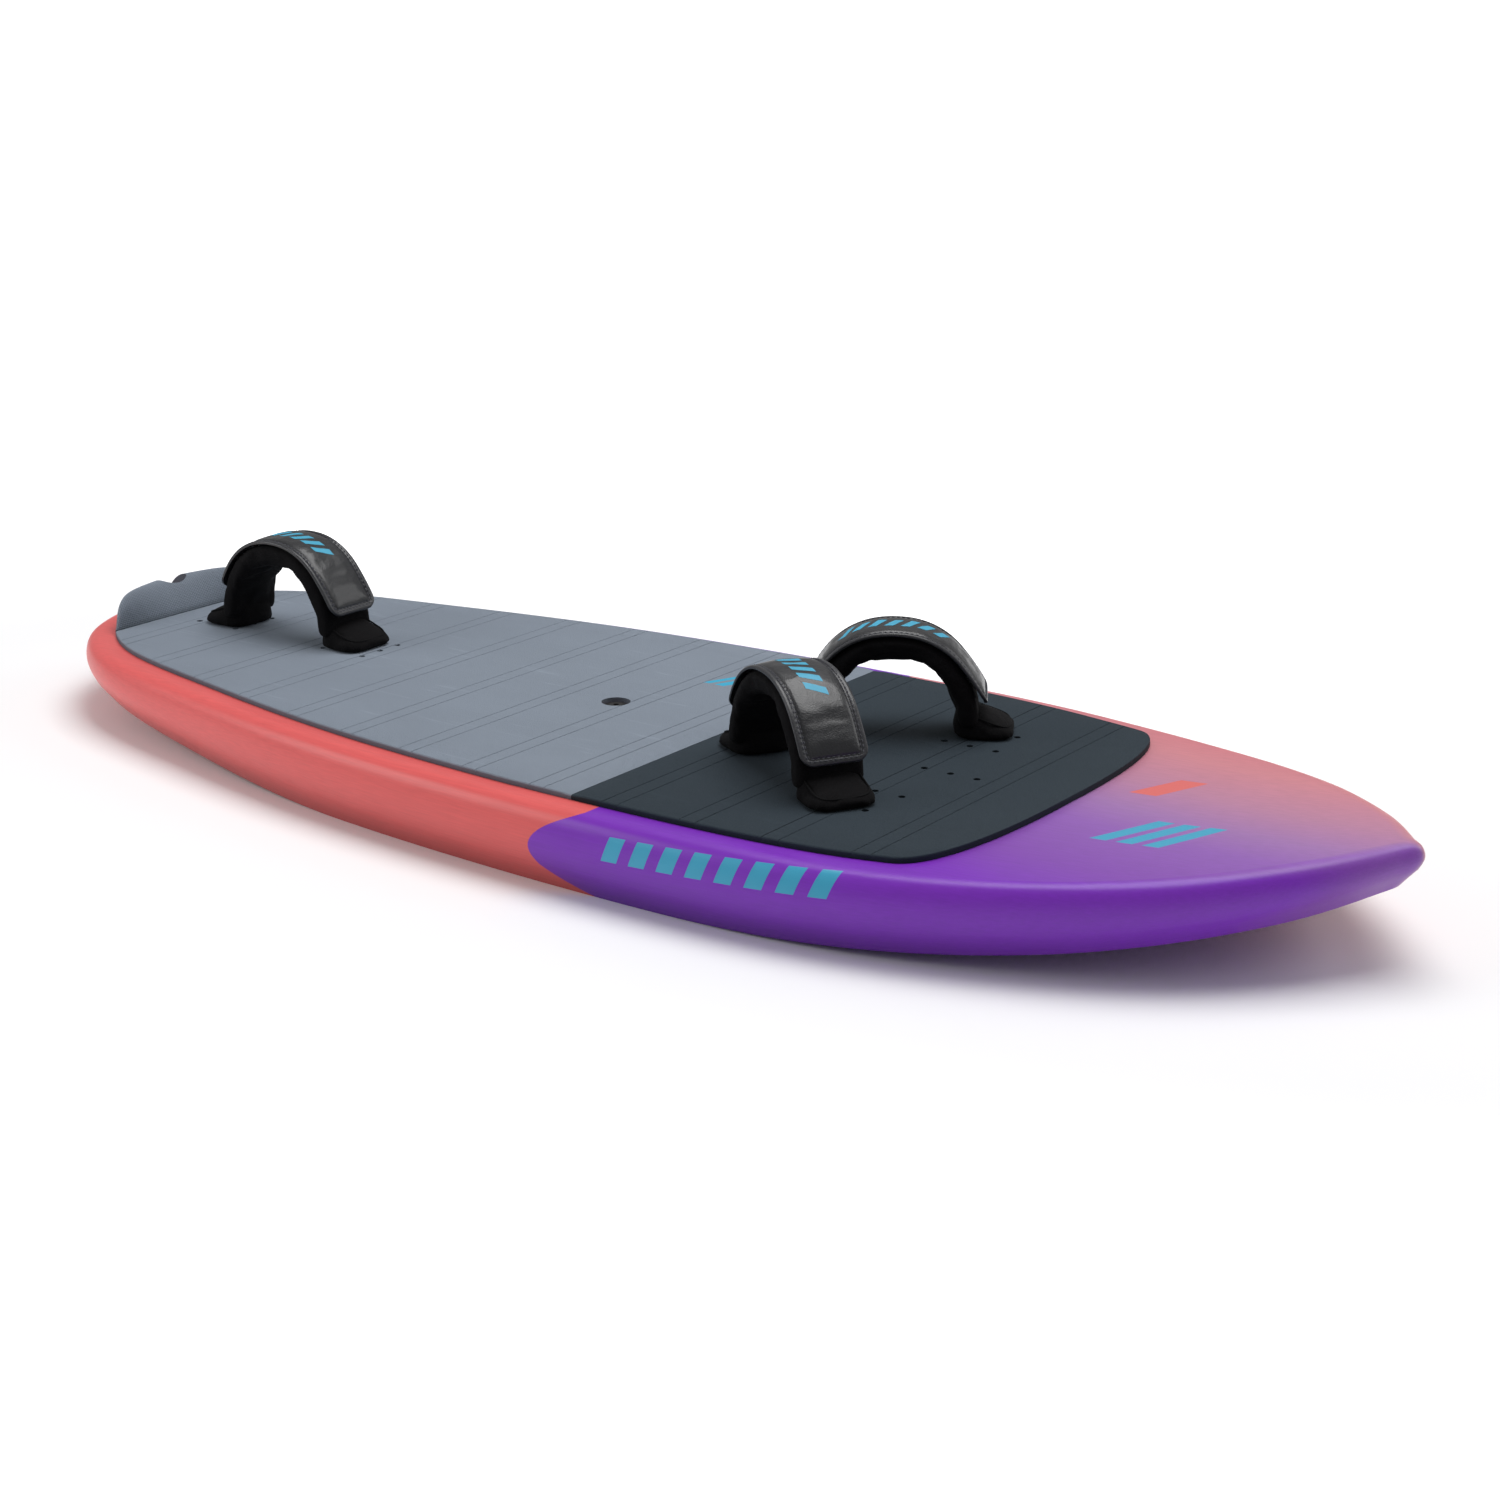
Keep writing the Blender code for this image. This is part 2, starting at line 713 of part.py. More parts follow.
def tail_pad_line():
    """The pad's edge round the left half of the tail, from the centreline to the kick pad's front."""
    line = [(TAIL_X + PAD_INSET, 0.0)]
    for before, at, after in zip(FINE_RAIL, FINE_RAIL[1:], FINE_RAIL[2:]):
        along = Vector((after[0] - before[0], after[1] - before[1])).normalized()
        x, y = at[0] + along.y * PAD_INSET, at[1] - along.x * PAD_INSET
        if x > KICK_FRONT_X - 0.004:
            return line
        if y > line[-1][1]:
            line.append((x, y))
    return line


def tail_edge(share):
    """The kick pad's rear edge in plan, for a share from -1 at its right end to 1 at its left end."""
    line = tail_pad_line()
    place_in = abs(share) * (len(line) - 1)
    index = min(int(place_in), len(line) - 2)
    point = Vector(line[index]).lerp(Vector(line[index + 1]), place_in - index)
    return point.x, math.copysign(point.y, share)


def kick_profile(along):
    """The kick pad's share of full height, from its front line (0) over the crest to its rear edge (1)."""
    if along < KICK_CREST:
        return 1 - (1 - along / KICK_CREST) ** 2
    return 1 - (1 - KICK_REAR_RISE) * ((along - KICK_CREST) / (1 - KICK_CREST)) ** 2


def kick_shape(rows=9, columns=24):
    """A foam lip that rises steeply from the rear pad to a crest and falls to the round tail edge."""
    top, bottom = [], []
    front_half = pad_half_width(KICK_FRONT_X)
    for row in range(rows + 1):
        for column in range(columns + 1):
            share = math.sin(math.pi * (column / columns - 0.5))
            along = row / rows
            rear_x, rear_y = tail_edge(share)
            x = KICK_FRONT_X + (rear_x - KICK_FRONT_X) * along
            y = front_half * share + (rear_y - front_half * share) * along
            rise = KICK_RISE * (1 - share**KICK_END_POWER) * kick_profile(along)
            bottom.append((x, y, deck_z(x) + GAP))
            top.append((x, y, deck_z(x) + GAP + PAD_THICK + rise))
    return grid_plate(top, bottom, columns + 1)


def evenly(start, end, spacing):
    """Numbers from start to end in equal steps near the spacing."""
    steps = round((end - start) / spacing)
    return [start + (end - start) * step / steps for step in range(steps + 1)]


def notch_shape():
    """A slot with a round front end, open to the tail."""
    plan = []
    for step in range(NOTCH_BEND_STEPS + 1):
        turn = math.pi * (step / NOTCH_BEND_STEPS - 0.5)
        x = NOTCH_X - NOTCH_BEND_LENGTH * (1 - math.cos(turn))
        plan.append((x, NOTCH_HALF_WIDTH * math.sin(turn)))
    plan += [(TAIL_X, NOTCH_HALF_WIDTH), (TAIL_X, -NOTCH_HALF_WIDTH)]
    return loft([[(x, y, z) for x, y in plan] for z in (BELOW_PADS, ABOVE_BOARD)])


def build_pads(mats, screw_holes):
    rear_stations = evenly(KICK_FRONT_X + GAP, PAD_SEAM_X, PAD_STATION_SPACING)
    cap_start = PAD_FRONT_X - PAD_CAP_LENGTH
    front_stations = evenly(PAD_SEAM_X + GAP, cap_start, PAD_STATION_SPACING)
    for step in range(1, PAD_CAP_STEPS + 1):
        front_stations.append(cap_start + PAD_CAP_LENGTH * math.sin(PAD_CAP_TURN * step / PAD_CAP_STEPS))

    rear_plate = pad_plate(rear_stations, pad_half_width)
    front_plate = pad_plate(front_stations, front_pad_half_width)
    rear = place("rear_pad", mesh_of("rear_pad", *rear_plate), mats["light_pad"])
    front = place("front_pad", mesh_of("front_pad", *front_plate), mats["dark_pad"])
    vent_pocket = prism((VENT_X, 0), VENT_POCKET_RADIUS, BELOW_PADS, ABOVE_BOARD, 24)
    cut(rear, cutter("vent_pocket_cutter", vent_pocket))
    for pad in (rear, front):
        cut(pad, screw_holes)

    kick = place("kick_pad", mesh_of("kick_pad", *kick_shape()), mats["light_pad"])
    cut(kick, cutter("kick_notch_cutter", notch_shape()))


def build_vent(mats):
    """A flanged barrel in the deck, closed by a screw that seals on an O-ring."""
    counterbore = VENT_HEAD_RADIUS + GAP
    body = turned(
        (
            (VENT_BORE_RADIUS, VENT_BARREL_LOW),
            (VENT_BARREL_RADIUS, VENT_BARREL_LOW),
            (VENT_BARREL_RADIUS, GAP),
            (VENT_FLANGE_RADIUS, GAP),
            (VENT_FLANGE_RADIUS, VENT_FLANGE_HIGH),
            (counterbore, VENT_FLANGE_HIGH),
            (counterbore, VENT_SEAT),
            (VENT_BORE_RADIUS, VENT_SEAT),
        ),
        24,
    )
    origin = (VENT_X, 0, DECK_HEIGHT)
    place("vent_body", mesh_of("vent_body", *body), mats["black_plastic"], None, origin)

    cord_corners = []
    for step in range(8):
        turn = math.radians(45 * step)
        height = VENT_SEAT + GAP + SEAL_CORD_RADIUS * (1 + math.sin(turn))
        cord_corners.append((SEAL_RADIUS + SEAL_CORD_RADIUS * math.cos(turn), height))
    seal = turned(cord_corners, 24)
    place("vent_oring", mesh_of("vent_oring", *seal), mats["rubber"], None, origin)

    head_low = VENT_SEAT + 2 * GAP + 2 * SEAL_CORD_RADIUS
    screw = headed_screw(VENT_SCREW_LENGTH, VENT_HEAD_RADIUS, VENT_HEAD_HEIGHT, VENT_SOCKET_DEPTH, 24)
    screw_origin = (VENT_X, 0, DECK_HEIGHT + head_low)
    place("vent_screw", mesh_of("vent_screw", *screw), mats["black_plastic"], None, screw_origin)


# ---------------------------------------------------------------- foot straps


def arch_point(degrees, outward):
    """A point of the arch's side view, at an angle from its rear foot and a distance outwards."""
    angle = math.radians(degrees)
    power = 2 / ARCH_POWER
    x = -math.copysign(abs(math.cos(angle)) ** power, math.cos(angle)) * (ARCH_REACH + outward)
    return x, abs(math.sin(angle)) ** power * (ARCH_HEIGHT + outward)


def arch_frame(degrees):
    """The arch's middle point and its outward direction."""
    low, high = Vector(arch_point(degrees, 0)), Vector(arch_point(degrees, 0.01))
    return low, (high - low).normalized()


def steps_between(start, end, step=10.5):
    count = max(1, round((end - start) / step))
    return [start + (end - start) * i / count for i in range(count + 1)]


def along_arch(section, degrees):
    """A section, given as (outward, across) points, set at an angle of the arch."""
    ring = []
    for outward, across in section:
        x, z = arch_point(degrees, outward)
        ring.append((x, across, z))
    return ring


def sleeve_shape():
    """The padded sleeve: a flattened pipe along the arch, with a slot for the webbing."""
    thickness = SLEEVE_OUTSIDE + SLEEVE_INSIDE
    shift = (SLEEVE_OUTSIDE - SLEEVE_INSIDE) / 2
    padding = rounded_rectangle(thickness, SLEEVE_WIDTH, SLEEVE_CORNER, 2)
    padding = [(out + shift, across) for out, across in padding]
    slot_corner = 0.0004
    slot = rounded_rectangle(WEBBING_THICK + 2 * GAP, WEBBING_WIDTH + 0.002, slot_corner, 2)
    angles = steps_between(*SLEEVE_ENDS)
    return tube([along_arch(padding, t) for t in angles], [along_arch(slot, t) for t in angles])


def ribbon(path, width, thickness):
    """A flat band along (x, z) points, each with its outward direction."""
    rings = []
    for point, outward in path:
        low, high = point - outward * thickness / 2, point + outward * thickness / 2
        corners = ((low, -1), (low, 1), (high, 1), (high, -1))
        rings.append([(edge.x, side * width / 2, edge.y) for edge, side in corners])
    return loft(rings)


def webbing_shape():
    """The webbing band: up through the sleeve, and turned out flat under each screw."""
    flat_z = GAP * 2 + PLATE_SIZE[2] + WEBBING_THICK / 2
    end_x, bend_x = SCREW_REACH + WEBBING_TAIL, SCREW_REACH - WEBBING_BEND
    upright_x = ARCH_REACH - 0.0007
    foot = (
        (Vector((end_x, flat_z)), Vector((0, 1))),
        (Vector((bend_x, flat_z)), Vector((0, 1))),
        (Vector(((bend_x + upright_x) / 2 - 0.0015, flat_z + 0.0020)), Vector((0.64, 0.77))),
        (Vector((upright_x, flat_z + 0.0070)), Vector((0.98, 0.17))),
    )
    mirrored = [(Vector((-p.x, p.y)), Vector((-n.x, n.y))) for p, n in foot]
    arch = [arch_frame(degrees) for degrees in steps_between(*SLEEVE_ENDS)]
    return ribbon(mirrored + arch + list(reversed(foot)), WEBBING_WIDTH, WEBBING_THICK)


def cover_shape(start, end, end_lift):
    """A leather band over the sleeve between two angles, whose last part stands off by the lift."""
    calm_angle, lift_angle = 45, 25
    half = COVER_WIDTH / 2
    rings = []
    for degrees in steps_between(start, end):
        loose = min(1.0, max(0.0, abs(degrees - 90) - calm_angle) / lift_angle)
        base = SLEEVE_OUTSIDE + GAP + end_lift * loose**2
        top = base + COVER_THICK
        section = ((base, -half), (base, half), (top, half), (top, -half))
        rings.append(along_arch(section, degrees))
    return loft(rings)


def hinge_point():
    """The flap turns about the cover's outer face, at the end of the sewn half."""
    return arch_point(FLAP_ROOT_ANGLE, SLEEVE_OUTSIDE + GAP + COVER_THICK)


def foot_cover_shape():
    """A neoprene cap over the screw, open below, with a slot on top where the webbing goes up."""
    rings = []
    for height, shorter, narrower, shift in FOOT_RINGS:
        plan = rounded_rectangle(FOOT_LENGTH - shorter, FOOT_WIDTH - narrower, FOOT_CORNER)
        z = GAP + (FOOT_HEIGHT - GAP) * height
        rings.append([(FOOT_CENTRE + shift + x, y, z) for x, y in plan])
    hollow_height = FOOT_HEIGHT - FOOT_WALL
    reach = FOOT_LENGTH / 2 - FOOT_WALL
    side = FOOT_HOLLOW_HALF_WIDTH
    hollow = box(
        (FOOT_CENTRE - reach, -side, BELOW_BOARD),
        (FOOT_CENTRE + reach, side, hollow_height),
    )
    slot = box(
        (FOOT_SLOT_X[0], -FOOT_SLOT_HALF_WIDTH, hollow_height - 0.001),
        (FOOT_SLOT_X[1], FOOT_SLOT_HALF_WIDTH, FOOT_HEIGHT + 0.01),
    )
    return loft(rings), hollow, slot


def hidden_copy(name, shape, parent, turn=0.0):
    """A cutter under a parent, turned about the parent's Z."""
    tool = cutter(name, shape)
    tool.parent = parent
    tool.rotation_euler.z = turn
    return tool


def build_strap(name, centre, heading, shapes, mats):
    """One foot strap around an empty on the pad; the front foot is at the empty's +X side."""
    holder = bpy.data.objects.new(f"{name}_frame", None)
    holder.location = (*centre, PAD_TOP)
    holder.rotation_euler.z = heading
    bpy.context.scene.collection.objects.link(holder)

    place(f"{name}_sleeve", shapes["sleeve"], mats["neoprene"], holder)
    place(f"{name}_cover", shapes["cover"], mats["leather"], holder)
    hinge_x, hinge_z = hinge_point()
    place(f"{name}_flap", shapes["flap"], mats["leather"], holder, (hinge_x, 0, hinge_z))

    through = (BELOW_BOARD, FOOT_HEIGHT)
    holes = [prism((side * SCREW_REACH, 0), HOLE_RADIUS, *through) for side in (-1, 1)]
    band = place(f"{name}_webbing", shapes["webbing"], mats["webbing"], holder)
    cut(band, hidden_copy(f"{name}_webbing_cutter", joined(holes), holder))

    _, hollow, slot = foot_cover_shape()
    head_z = 3 * GAP + PLATE_SIZE[2] + WEBBING_THICK
    for end, side in (("front", 1), ("rear", -1)):
        turn = 0.0 if side == 1 else math.pi
        foot = place(f"{name}_foot_{end}", shapes["foot"], mats["neoprene"], holder)
        foot.rotation_euler.z = turn
        cut(foot, hidden_copy(f"{name}_{end}_hollow_cutter", hollow, holder, turn))
        cut(foot, hidden_copy(f"{name}_{end}_slot_cutter", slot, holder, turn))
        spot = (side * SCREW_REACH, 0, 0)
        place(f"{name}_plate_{end}", shapes["plate"], mats["steel"], holder, spot)
        place(f"{name}_screw_{end}", shapes["screw"], mats["steel"], holder, (spot[0], 0, head_z))


def build_straps(mats):
    hinge_x, hinge_z = hinge_point()
    flap_start = FLAP_ROOT_ANGLE + FLAP_ROOT_GAP
    flap_points, flap_faces = cover_shape(flap_start, FLAP_END_ANGLE, FLAP_END_LIFT)
    flap_points = [(x - hinge_x, y, z - hinge_z) for x, y, z in flap_points]
    cover = cover_shape(COVER_START_ANGLE, FLAP_ROOT_ANGLE, COVER_END_LIFT)
    plate = pierced_plate(PLATE_SIZE[0], PLATE_SIZE[1], HOLE_RADIUS, GAP, GAP + PLATE_SIZE[2], 12)
    screw = headed_screw(SCREW_LENGTH, SCREW_HEAD_RADIUS, SCREW_HEAD_HEIGHT, SOCKET_DEPTH, 12)
    shapes = {
        "sleeve": mesh_of("strap_sleeve", *sleeve_shape()),
        "webbing": mesh_of("strap_webbing", *webbing_shape()),
        "cover": mesh_of("strap_cover", *cover),
        "flap": mesh_of("strap_flap", flap_points, flap_faces),
        "foot": mesh_of("strap_foot", *foot_cover_shape()[0]),
        "plate": mesh_of("strap_plate", *plate),
        "screw": mesh_of("strap_screw", *screw),
    }
    for name, centre, heading in strap_frames():
        build_strap(name, centre, heading, shapes, mats)


# ---------------------------------------------------------------- the board


def build_board():
    clear_scene()
    mats = {
        "deck": material("deck_lacquer", (0.75, 0.10, 0.10), 0.35),
        "bottom": material("bottom_lacquer", (0.20, 0.03, 0.45), 0.35),
        "foam": material("core_foam", (0.85, 0.83, 0.75), 0.9),
        "block": material("dense_foam", (0.55, 0.50, 0.40), 0.8),
        "insert": material("insert_plastic", (0.20, 0.20, 0.21), 0.6),
        "track": material("track_plastic", (0.04, 0.04, 0.045), 0.5),
        "brass": material("nut_brass", (0.70, 0.50, 0.20), 0.35, 1.0),
        "light_pad": material("light_pad_foam", (0.22, 0.25, 0.30), 0.85),
        "dark_pad": material("dark_pad_foam", (0.035, 0.05, 0.06), 0.85),
        "black_plastic": material("vent_plastic", (0.02, 0.02, 0.02), 0.4),
        "rubber": material("vent_rubber", (0.02, 0.02, 0.02), 0.8),
        "neoprene": material("strap_neoprene", (0.004, 0.004, 0.006), 0.8),
        "webbing": material("strap_webbing", (0.02, 0.02, 0.02), 0.8),
        "leather": material("strap_leather", (0.04, 0.04, 0.05), 0.4),
        "steel": material("screw_steel", (0.6, 0.6, 0.6), 0.3, 1.0),
    }
    screw_holes = build_hull(mats)
    build_tracks(mats)
    build_pads(mats, screw_holes)
    build_vent(mats)
    build_straps(mats)


build_board()
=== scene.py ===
import math

import bmesh
import bpy
import numpy as np
from mathutils import Matrix, Vector, noise


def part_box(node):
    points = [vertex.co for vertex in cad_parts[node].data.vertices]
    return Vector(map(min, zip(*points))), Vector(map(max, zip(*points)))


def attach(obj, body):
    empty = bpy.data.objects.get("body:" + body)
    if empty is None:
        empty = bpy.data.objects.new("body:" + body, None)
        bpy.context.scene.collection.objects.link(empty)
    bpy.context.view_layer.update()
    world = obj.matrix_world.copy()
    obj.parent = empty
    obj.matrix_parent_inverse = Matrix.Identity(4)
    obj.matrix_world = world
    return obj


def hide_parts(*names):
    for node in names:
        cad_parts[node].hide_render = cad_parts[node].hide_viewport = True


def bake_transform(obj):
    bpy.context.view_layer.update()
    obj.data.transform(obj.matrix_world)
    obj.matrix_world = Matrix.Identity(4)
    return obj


# Hull form, in metres: the same lines as the CAD part's
LENGTH = 1.37
DECK_HEIGHT = 0.070
GAP = 0.0003
RAIL_LINE = (
    (-0.685, 0.0),
    (-0.664, 0.068),
    (-0.630, 0.112),
    (-0.560, 0.157),
    (-0.400, 0.1985),
    (-0.200, 0.2335),
    (0.080, 0.250),
    (0.300, 0.2405),
    (0.450, 0.200),
    (0.560, 0.1425),
    (0.635, 0.0725),
    (0.674, 0.0175),
    (0.685, 0.0),
)
# Rail profile: (distance in from the rail, share of thickness)
RAIL_PROFILE = (
    (0.0145, 1.0),
    (0.0085, 0.965),
    (0.0040, 0.885),
    (0.0012, 0.76),
    (0.0, 0.56),
    (0.0015, 0.42),
    (0.0040, 0.31),
    (0.0175, 0.0),
)
DECK_EDGE_ROWS = ((0.030, 1.0), (0.018, 1.0))
# Shares of the way down the flat bevel at the foot of the rail
BEVEL_SHARES = (0.33, 0.67, 0.94, 1.0)
KEEL_SHARE = 0.44
# How lines rise towards an end: (height, start, length, power)
DECK_RISE = (0.0245, 0.29, 0.35, 2)
RAIL_NOSE_RISE = (0.052, 0.10, 0.545, 2.5)
RAIL_TAIL_RISE = (0.036, 0.20, 0.485, 1.6)
KEEL_NOSE_RISE = (0.052, 0.12, 0.525, 2.5)
KEEL_TAIL_RISE = (0.036, 0.51, 0.175, 1.5)
TIP_CURL_RISE = (0.009, 0.60, 0.085, 2)
SCREW_PITCH = 0.025
SCREW_REACH = 0.084
SPARE_HOLE_ROWS = ((0.2837, 0.0), (0.2582, 0.072), (0.2582, -0.072))
SCREW_HOLE_RADIUS = 0.0036
VENT_HOLE_RADIUS = 0.0093

# Pads
PAD_THICK = 0.005
PAD_TOP = DECK_HEIGHT + GAP + PAD_THICK
PAD_INSET = 0.030
PAD_SEAM_X = 0.067
PAD_FRONT_X = 0.394
PAD_CAP_LENGTH = 0.044
GROOVE_PAIR_X = 0.0316
GROOVE_PAIR_PITCH = 0.0745
GROOVE_PAIR_SPACING = 0.015
GROOVE_WIDTH = 0.0011
# Across a pad from its edge: (distance in, drop below the top)
PAD_EDGE = ((0.0, 0.0016), (0.0003, 0.0007), (0.0009, 0.0002), (0.0018, 0.0))
PAD_END_DROP = 0.0009
PAD_HOLE_RADIUS = 0.0030
PAD_VENT_RADIUS = 0.013
KICK_FRONT_X = -0.604
KICK_RISE = 0.0302
KICK_CREST = 0.44
KICK_REAR_RISE = 0.35
NOTCH_X = -0.618
NOTCH_HALF_WIDTH = 0.0165
NOTCH_BEND_LENGTH = 0.008

# Foot straps, in each strap's own frame: X towards its front foot, Z up from the pad.
# Each strap's name, centre, heading and how much taller it has been pulled than the others.
STRAP_HEADING = math.radians(31)
STRAPS = (
    ("rear_strap", (-0.455, 0.0), 0.0, 1.028),
    ("left_strap", (0.181, 0.073), STRAP_HEADING, 1.0),
    ("right_strap", (0.181, -0.073), -STRAP_HEADING, 0.98),
)
ARCH_REACH = 0.0687
ARCH_HEIGHT = 0.083
ARCH_POWER = 2.2
SLEEVE_WIDTH = 0.062
SLEEVE_OUT = 0.0065
SLEEVE_IN = 0.0140
BAND_WIDTH = 0.059
BAND_CLEAR = SLEEVE_OUT + GAP
BAND_START = 23.0
BAND_END = 163.0
BAND_CORNER = 0.012
FOOT_CENTRE = 0.0779
FOOT_HALF_LENGTH = 0.0262
FOOT_HALF_WIDTH = 0.0300
FOOT_TOE_HEIGHT = 0.0095
FOOT_CLIMB = 0.0205
FOOT_POWER = 3.8
FOOT_ROWS = 16
FOOT_SEGMENTS = 48
FOOT_SEAM_SHARE = 0.19
# The leather cover's thickness: (distance in from its edge, thickness). A bound edge comes first,
# then a sewn valley beside it, then the padded middle.
COVER_THICKNESS = (
    (0.0, 0.0015),
    (0.0004, 0.0023),
    (0.0012, 0.0028),
    (0.0030, 0.0029),
    (0.0044, 0.0026),
    (0.0052, 0.0018),
    (0.0064, 0.0019),
    (0.0080, 0.0031),
    (0.0120, 0.0039),
    (0.0200, 0.0044),
)
BINDING_WIDTH = 0.0056
SEAM_INSETS = (0.0043, 0.0063)
# Along a stitch: (share of its length, size and lift in thread radii)
STITCH_FORM = ((0.0, 0.35, -0.4), (0.18, 0.9, 0.5), (0.5, 1.0, 0.9), (0.82, 0.9, 0.5), (1.0, 0.35, -0.4))
BAR_COUNT = 7
BAR_START = 0.050
BAR_PITCH = 0.0132
BAR_WIDTH = 0.0072
BAR_HALF_ACROSS = 0.0085

# Colours, as they look in daylight (sRGB)
CORAL = "E2605F"
PURPLE = "7B2CBA"
LILAC = "9F71AD"
SALMON = "CE828C"
BADGE = "DD6A66"
TEAL = "3FA3C4"
LIGHT_FOAM = "7E8793"
DARK_FOAM = "2C363E"


# ---------------------------------------------------------------- materials


def linear(code):
    """A six-letter sRGB colour as linear RGBA."""
    levels = [int(code[i : i + 2], 16) / 255 for i in (0, 2, 4)]
    return (*[v / 12.92 if v <= 0.04045 else ((v + 0.055) / 1.055) ** 2.4 for v in levels], 1.0)


class Shader:
    """A Principled material, with short calls for the nodes that drive it."""

    def __init__(self, name, colour="808080", roughness=0.5, metallic=0.0):
        self.mat = bpy.data.materials.new(name)
        self.mat.use_nodes = True
        self.tree = self.mat.node_tree
        self.bsdf = self.tree.nodes["Principled BSDF"]
        self.set("Base Color", linear(colour))
        self.set("Roughness", roughness)
        self.set("Metallic", metallic)
        self.place = self.node("ShaderNodeTexCoord").outputs["Object"]

    def node(self, kind, **settings):
        made = self.tree.nodes.new(kind)
        for name, value in settings.items():
            setattr(made, name, value)
        return made

    def plug(self, target, value):
        if isinstance(value, bpy.types.NodeSocket):
            self.tree.links.new(value, target)
        else:
            target.default_value = value

    def set(self, name, value):
        self.plug(self.bsdf.inputs[name], value)

    def calc(self, operation, *values, clamp=False):
        made = self.node("ShaderNodeMath", operation=operation, use_clamp=clamp)
        for slot, value in zip(made.inputs, values):
            self.plug(slot, value)
        return made.outputs[0]

    def split(self):
        """The X, Y and Z of the place on the object."""
        made = self.node("ShaderNodeSeparateXYZ")
        self.plug(made.inputs[0], self.place)
        return made.outputs

    def step(self, value, low, high):
        """0 below low and 1 above high, smooth between."""
        made = self.node("ShaderNodeMapRange", interpolation_type="SMOOTHSTEP")
        for slot, number in zip(("Value", "From Min", "From Max"), (value, low, high)):
            self.plug(made.inputs[slot], number)
        return made.outputs[0]

    def scaled(self, scale):
        made = self.node("ShaderNodeVectorMath", operation="MULTIPLY")
        self.plug(made.inputs[0], self.place)
        made.inputs[1].default_value = scale
        return made.outputs[0]

    def noise(self, scale, stretch=(1, 1, 1), detail=4.0):
        made = self.node("ShaderNodeTexNoise")
        self.plug(made.inputs["Vector"], self.scaled(stretch))
        made.inputs["Scale"].default_value = scale
        made.inputs["Detail"].default_value = detail
        return made.outputs["Fac"]

    def cells(self, scale, feature="F1", stretch=(1, 1, 1)):
        made = self.node("ShaderNodeTexVoronoi", feature=feature)
        self.plug(made.inputs["Vector"], self.scaled(stretch))
        made.inputs["Scale"].default_value = scale
        return made.outputs["Distance"]

    def mix(self, share, first, second, blend="MIX"):
        made = self.node("ShaderNodeMix", data_type="RGBA", blend_type=blend)
        for index, value in ((0, share), (6, first), (7, second)):
            self.plug(made.inputs[index], value)
        return made.outputs[2]

    def ramp(self, value, stops):
        made = self.node("ShaderNodeValToRGB")
        self.plug(made.inputs[0], value)
        line = made.color_ramp
        while len(line.elements) < len(stops):
            line.elements.new(0.5)
        for element, (position, code) in zip(line.elements, stops):
            element.position = position
            element.color = linear(code)
        return made.outputs[0]

    def shade(self, colour, value, low, high):
        """The colour darkened to low where the value is 0 and lightened to high where it is 1."""
        spread = self.node("ShaderNodeMapRange")
        self.plug(spread.inputs["Value"], value)
        spread.inputs["To Min"].default_value = low
        spread.inputs["To Max"].default_value = high
        made = self.node("ShaderNodeVectorMath", operation="SCALE")
        self.plug(made.inputs[0], colour[:3] if isinstance(colour, tuple) else colour)
        self.plug(made.inputs["Scale"], spread.outputs[0])
        return made.outputs[0]

    def patch(self, centre, half, slant):
        """1 inside a slanted rectangle of the plan and 0 outside it."""
        x, y, _ = self.split()
        across = self.calc("SUBTRACT", y, centre[1])
        lean = self.calc("MULTIPLY_ADD", across, -slant, self.calc("SUBTRACT", x, centre[0]))
        inside = []
        for distance, limit in ((lean, half[0]), (across, half[1])):
            inside.append(self.step(self.calc("ABSOLUTE", distance), limit + 0.0003, limit - 0.0003))
        return self.calc("MULTIPLY", *inside)

    def bump(self, *layers):
        """Bump layers of (height, depth in metres), one over another."""
        normal = None
        for height, depth in layers:
            made = self.node("ShaderNodeBump")
            made.inputs["Distance"].default_value = depth
            self.plug(made.inputs["Height"], height)
            if normal is not None:
                self.plug(made.inputs["Normal"], normal)
            normal = made.outputs[0]
        self.set("Normal", normal)


